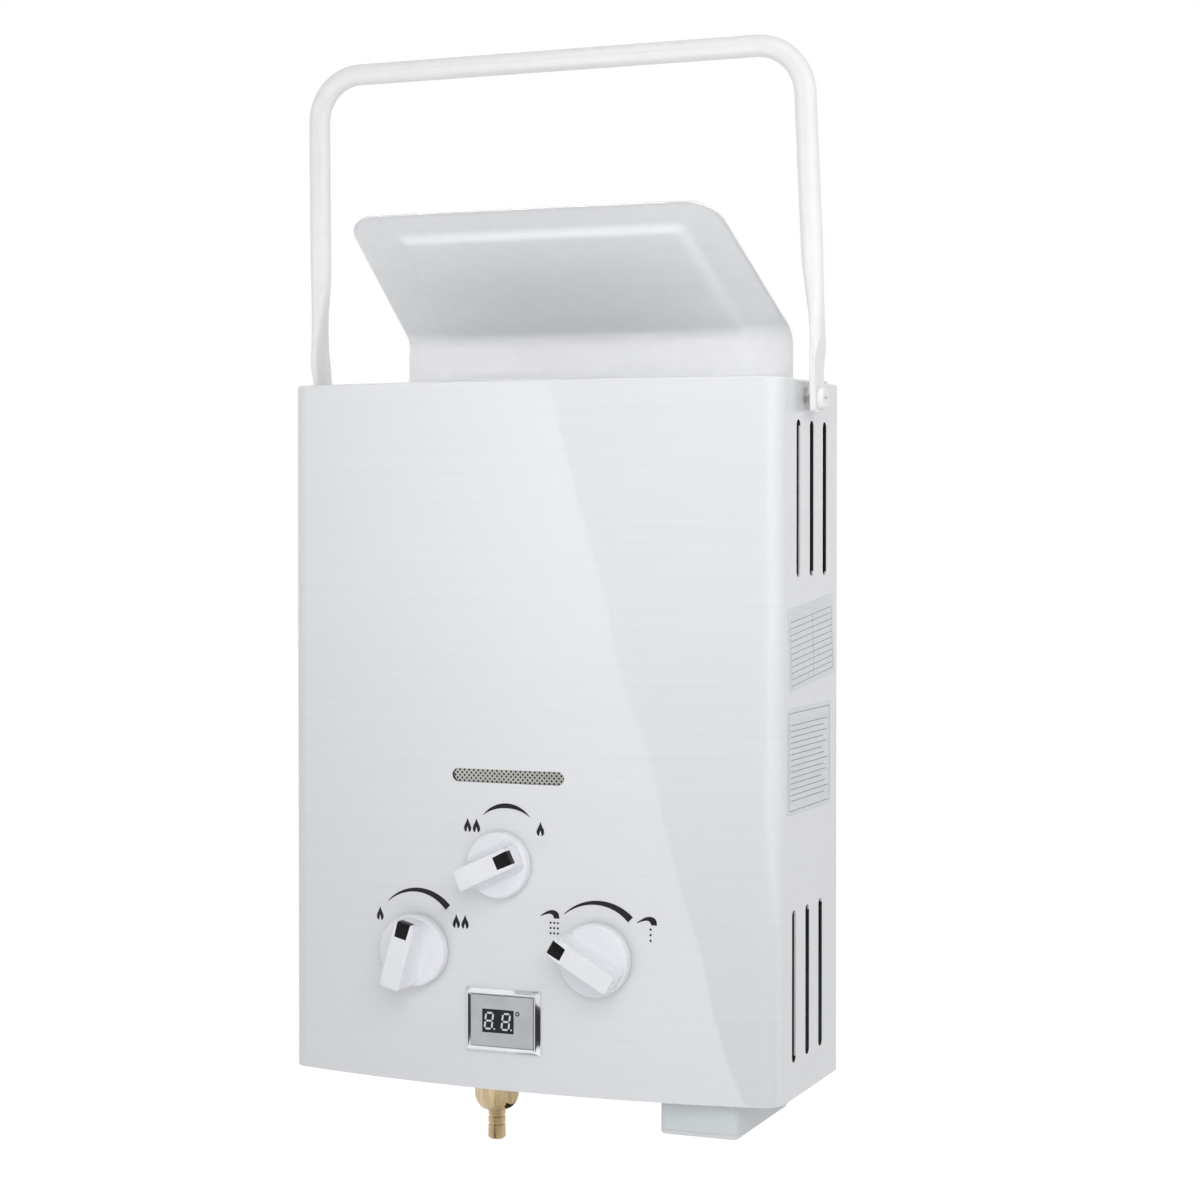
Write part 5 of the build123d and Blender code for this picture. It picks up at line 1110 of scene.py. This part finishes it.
FLOOR_DROP = 12  # mm below the open battery lid
FLOOR_REACH = 6.0
FLOOR_CORNERS = ((-1, -1), (1, -1), (1, 1), (-1, 1))  # in reaches
FLOOR_PAINT = (0.80, 0.80, 0.81, 1)
FLOOR_GLOW = 0.16  # for every ray
FLOOR_GLOW_SEEN = 0.57  # more for the camera
FLOOR_GLOW_MIRRORED = 0.34  # more for glossy surfaces
WORLD_LIGHTING, WORLD_SEEN = 0.46, 1.0
LIGHTS = (  # name, place, aim, size, power in watts, spread in degrees
    ("key", (0.55, -1.15, 0.32), (0, -0.05, -0.1), (0.8, 0.8), 5.9, 180),
    ("cap_beam", (0.2, -1.2, -0.35), (0.02, -0.05, 0.13), (0.3, 0.3), 0.16, 40),
    ("cap_strip", (0.0, -1.02, 0.63), (0.0, 0.0, 0.042), (0.27, 0.04), 0.015, 7),
    ("side_beam", (1.3, -0.35, 0.75), (0.15, -0.05, 0.0), (0.4, 0.4), 0.16, 40),
)


def floor_height():
    """Height of the floor, below the open battery lid."""
    return lid_low.z - (lid_high.y - lid_low.y) - FLOOR_DROP * MM


def flat_sheet(name, corners, material):
    """An object of one flat face."""
    mesh = bmesh.new()
    mesh.faces.new([mesh.verts.new(corner) for corner in corners])
    return add_object(name, mesh_data(name, mesh, material))


def build_stage():
    """A pale floor, seen white, keeping the shadow."""
    made, tree, shader = new_material("pale_floor")
    set_finish(shader, Base_Color=FLOOR_PAINT, Roughness=0.9)
    glow = tree.nodes.new("ShaderNodeEmission")
    rays = tree.nodes.new("ShaderNodeLightPath")
    level = FLOOR_GLOW
    for ray, more in (("Is Camera Ray", FLOOR_GLOW_SEEN), ("Is Glossy Ray", FLOOR_GLOW_MIRRORED)):
        level = math_node(tree, "MULTIPLY_ADD", rays.outputs[ray], more, level)
    tree.links.new(level, glow.inputs["Strength"])
    both = tree.nodes.new("ShaderNodeAddShader")
    tree.links.new(shader.outputs[0], both.inputs[0])
    tree.links.new(glow.outputs[0], both.inputs[1])
    tree.links.new(both.outputs[0], tree.nodes["Material Output"].inputs["Surface"])
    floor_z = floor_height()
    corners = [(x * FLOOR_REACH, y * FLOOR_REACH, floor_z) for x, y in FLOOR_CORNERS]
    floor = flat_sheet("floor", corners, made)


def build_world():
    """White where it is seen or mirrored, a softer grey where it lights."""
    world = bpy.data.worlds.new("studio")
    bpy.context.scene.world = world
    world.use_nodes = True
    tree = world.node_tree
    background = tree.nodes["Background"]
    background.inputs["Color"].default_value = (1, 1, 1, 1)
    rays = tree.nodes.new("ShaderNodeLightPath")
    seen = rays.outputs["Is Camera Ray"]
    for other in ("Is Glossy Ray", "Is Transmission Ray"):
        seen = math_node(tree, "MAXIMUM", seen, rays.outputs[other])
    level = map_range(tree, seen, target=(WORLD_LIGHTING, WORLD_SEEN))
    tree.links.new(level, background.inputs["Strength"])


def soft_light(name, place, aim, size, power, spread):
    """A softbox that faces a point, its beam spread in degrees, unseen in glossy surfaces."""
    data = bpy.data.lights.new(name, "AREA")
    data.shape = "RECTANGLE"
    data.size, data.size_y = size
    data.energy = power
    data.spread = math.radians(spread)
    light = add_object(name, data)
    light.location = place
    light.rotation_euler = (Vector(aim) - Vector(place)).to_track_quat("-Z", "Y").to_euler()
    light.visible_glossy = False


def build_lights():
    """A broad key from the front right, two lights for the cap and a beam down the right side."""
    for light in LIGHTS:
        soft_light(*light)


# ---- mirrored cards

FRONT_CARD_Y = -2.6
FRONT_CARD = ((-1.5, 0.763), (-0.09, -0.62), (2.4, -0.62), (2.4, 1.4), (-1.5, 1.4))  # x, z
FRONT_CARD_GREY = 0.05
FLOOR_CARD_LIFT = 0.004
FLOOR_CARDS = (  # name, corners (x, y), grey
    (
        "floor_card",
        (
            (-0.272, -2.7), (0.038, -1.32), (0.143, -0.612), (0.17, -0.45), (0.45, -0.30),
            (0.50, -0.08), (1.5, -0.08), (1.5, -2.7),
        ),
        0.03,
    ),
    ("nut_card_rear", ((0.0, -0.04), (0.24, -0.12), (0.24, 0.10), (0.1, 0.26), (-0.06, 0.26)), 0.04),
    ("nut_card_front", ((-0.045, -0.12), (-0.02, -0.12), (0.03, -0.42), (-0.15, -0.42)), 0.22),
)
CARD_BLACK = (0.02, 0.02, 0.02, 1)


def build_card(name, corners, grey):
    """A matt card that only mirrors see."""
    made, _, shader = new_material(name)
    set_finish(shader, Base_Color=CARD_BLACK, Roughness=1.0, Specular_IOR_Level=0.0)
    set_finish(shader, Emission_Color=(grey, grey, grey, 1), Emission_Strength=1.0)
    card = flat_sheet(name, corners, made)
    card.visible_camera = False
    card.visible_diffuse = False
    card.visible_transmission = False
    card.visible_shadow = False


def build_cards():
    """A card whose slanted edge the panel mirrors, its foreground, and two by the gas nut."""
    build_card("front_card", [(x, FRONT_CARD_Y, z) for x, z in FRONT_CARD], FRONT_CARD_GREY)
    card_z = floor_height() + FLOOR_CARD_LIFT
    for name, corners, grey in FLOOR_CARDS:
        build_card(name, [(x, y, card_z) for x, y in corners], grey)


# ---- camera

CAMERA_PLACE = Vector((562.5, -1376.35, -41.37)) * MM
CAMERA_YAW = 22.172
CAMERA_PITCH = 0.815  # degrees down
CAMERA_LENS = 76.612
CAMERA_SENSOR = 36
CAMERA_SHIFT = -0.04
CAMERA_CLIP = (0.01, 50)


def build_camera():
    """The viewpoint: right of the front, a little below the casing's top."""
    data = bpy.data.cameras.new("camera")
    data.lens = CAMERA_LENS
    data.sensor_width = CAMERA_SENSOR
    data.sensor_fit = "HORIZONTAL"
    data.shift_y = CAMERA_SHIFT
    data.clip_start, data.clip_end = CAMERA_CLIP
    camera = add_object("camera", data)
    camera.location = CAMERA_PLACE
    camera.rotation_euler = (math.radians(90 - CAMERA_PITCH), 0, math.radians(CAMERA_YAW))
    bpy.context.scene.camera = camera


build_camera()
build_world()
build_lights()
build_stage()
build_cards()
bpy.context.scene.view_settings.view_transform = "Standard"

dress_frame()
build_handle()
build_rain_cap()
build_knobs()
build_bezel()
build_screen()
build_prints()
build_digits()
build_label_rules()
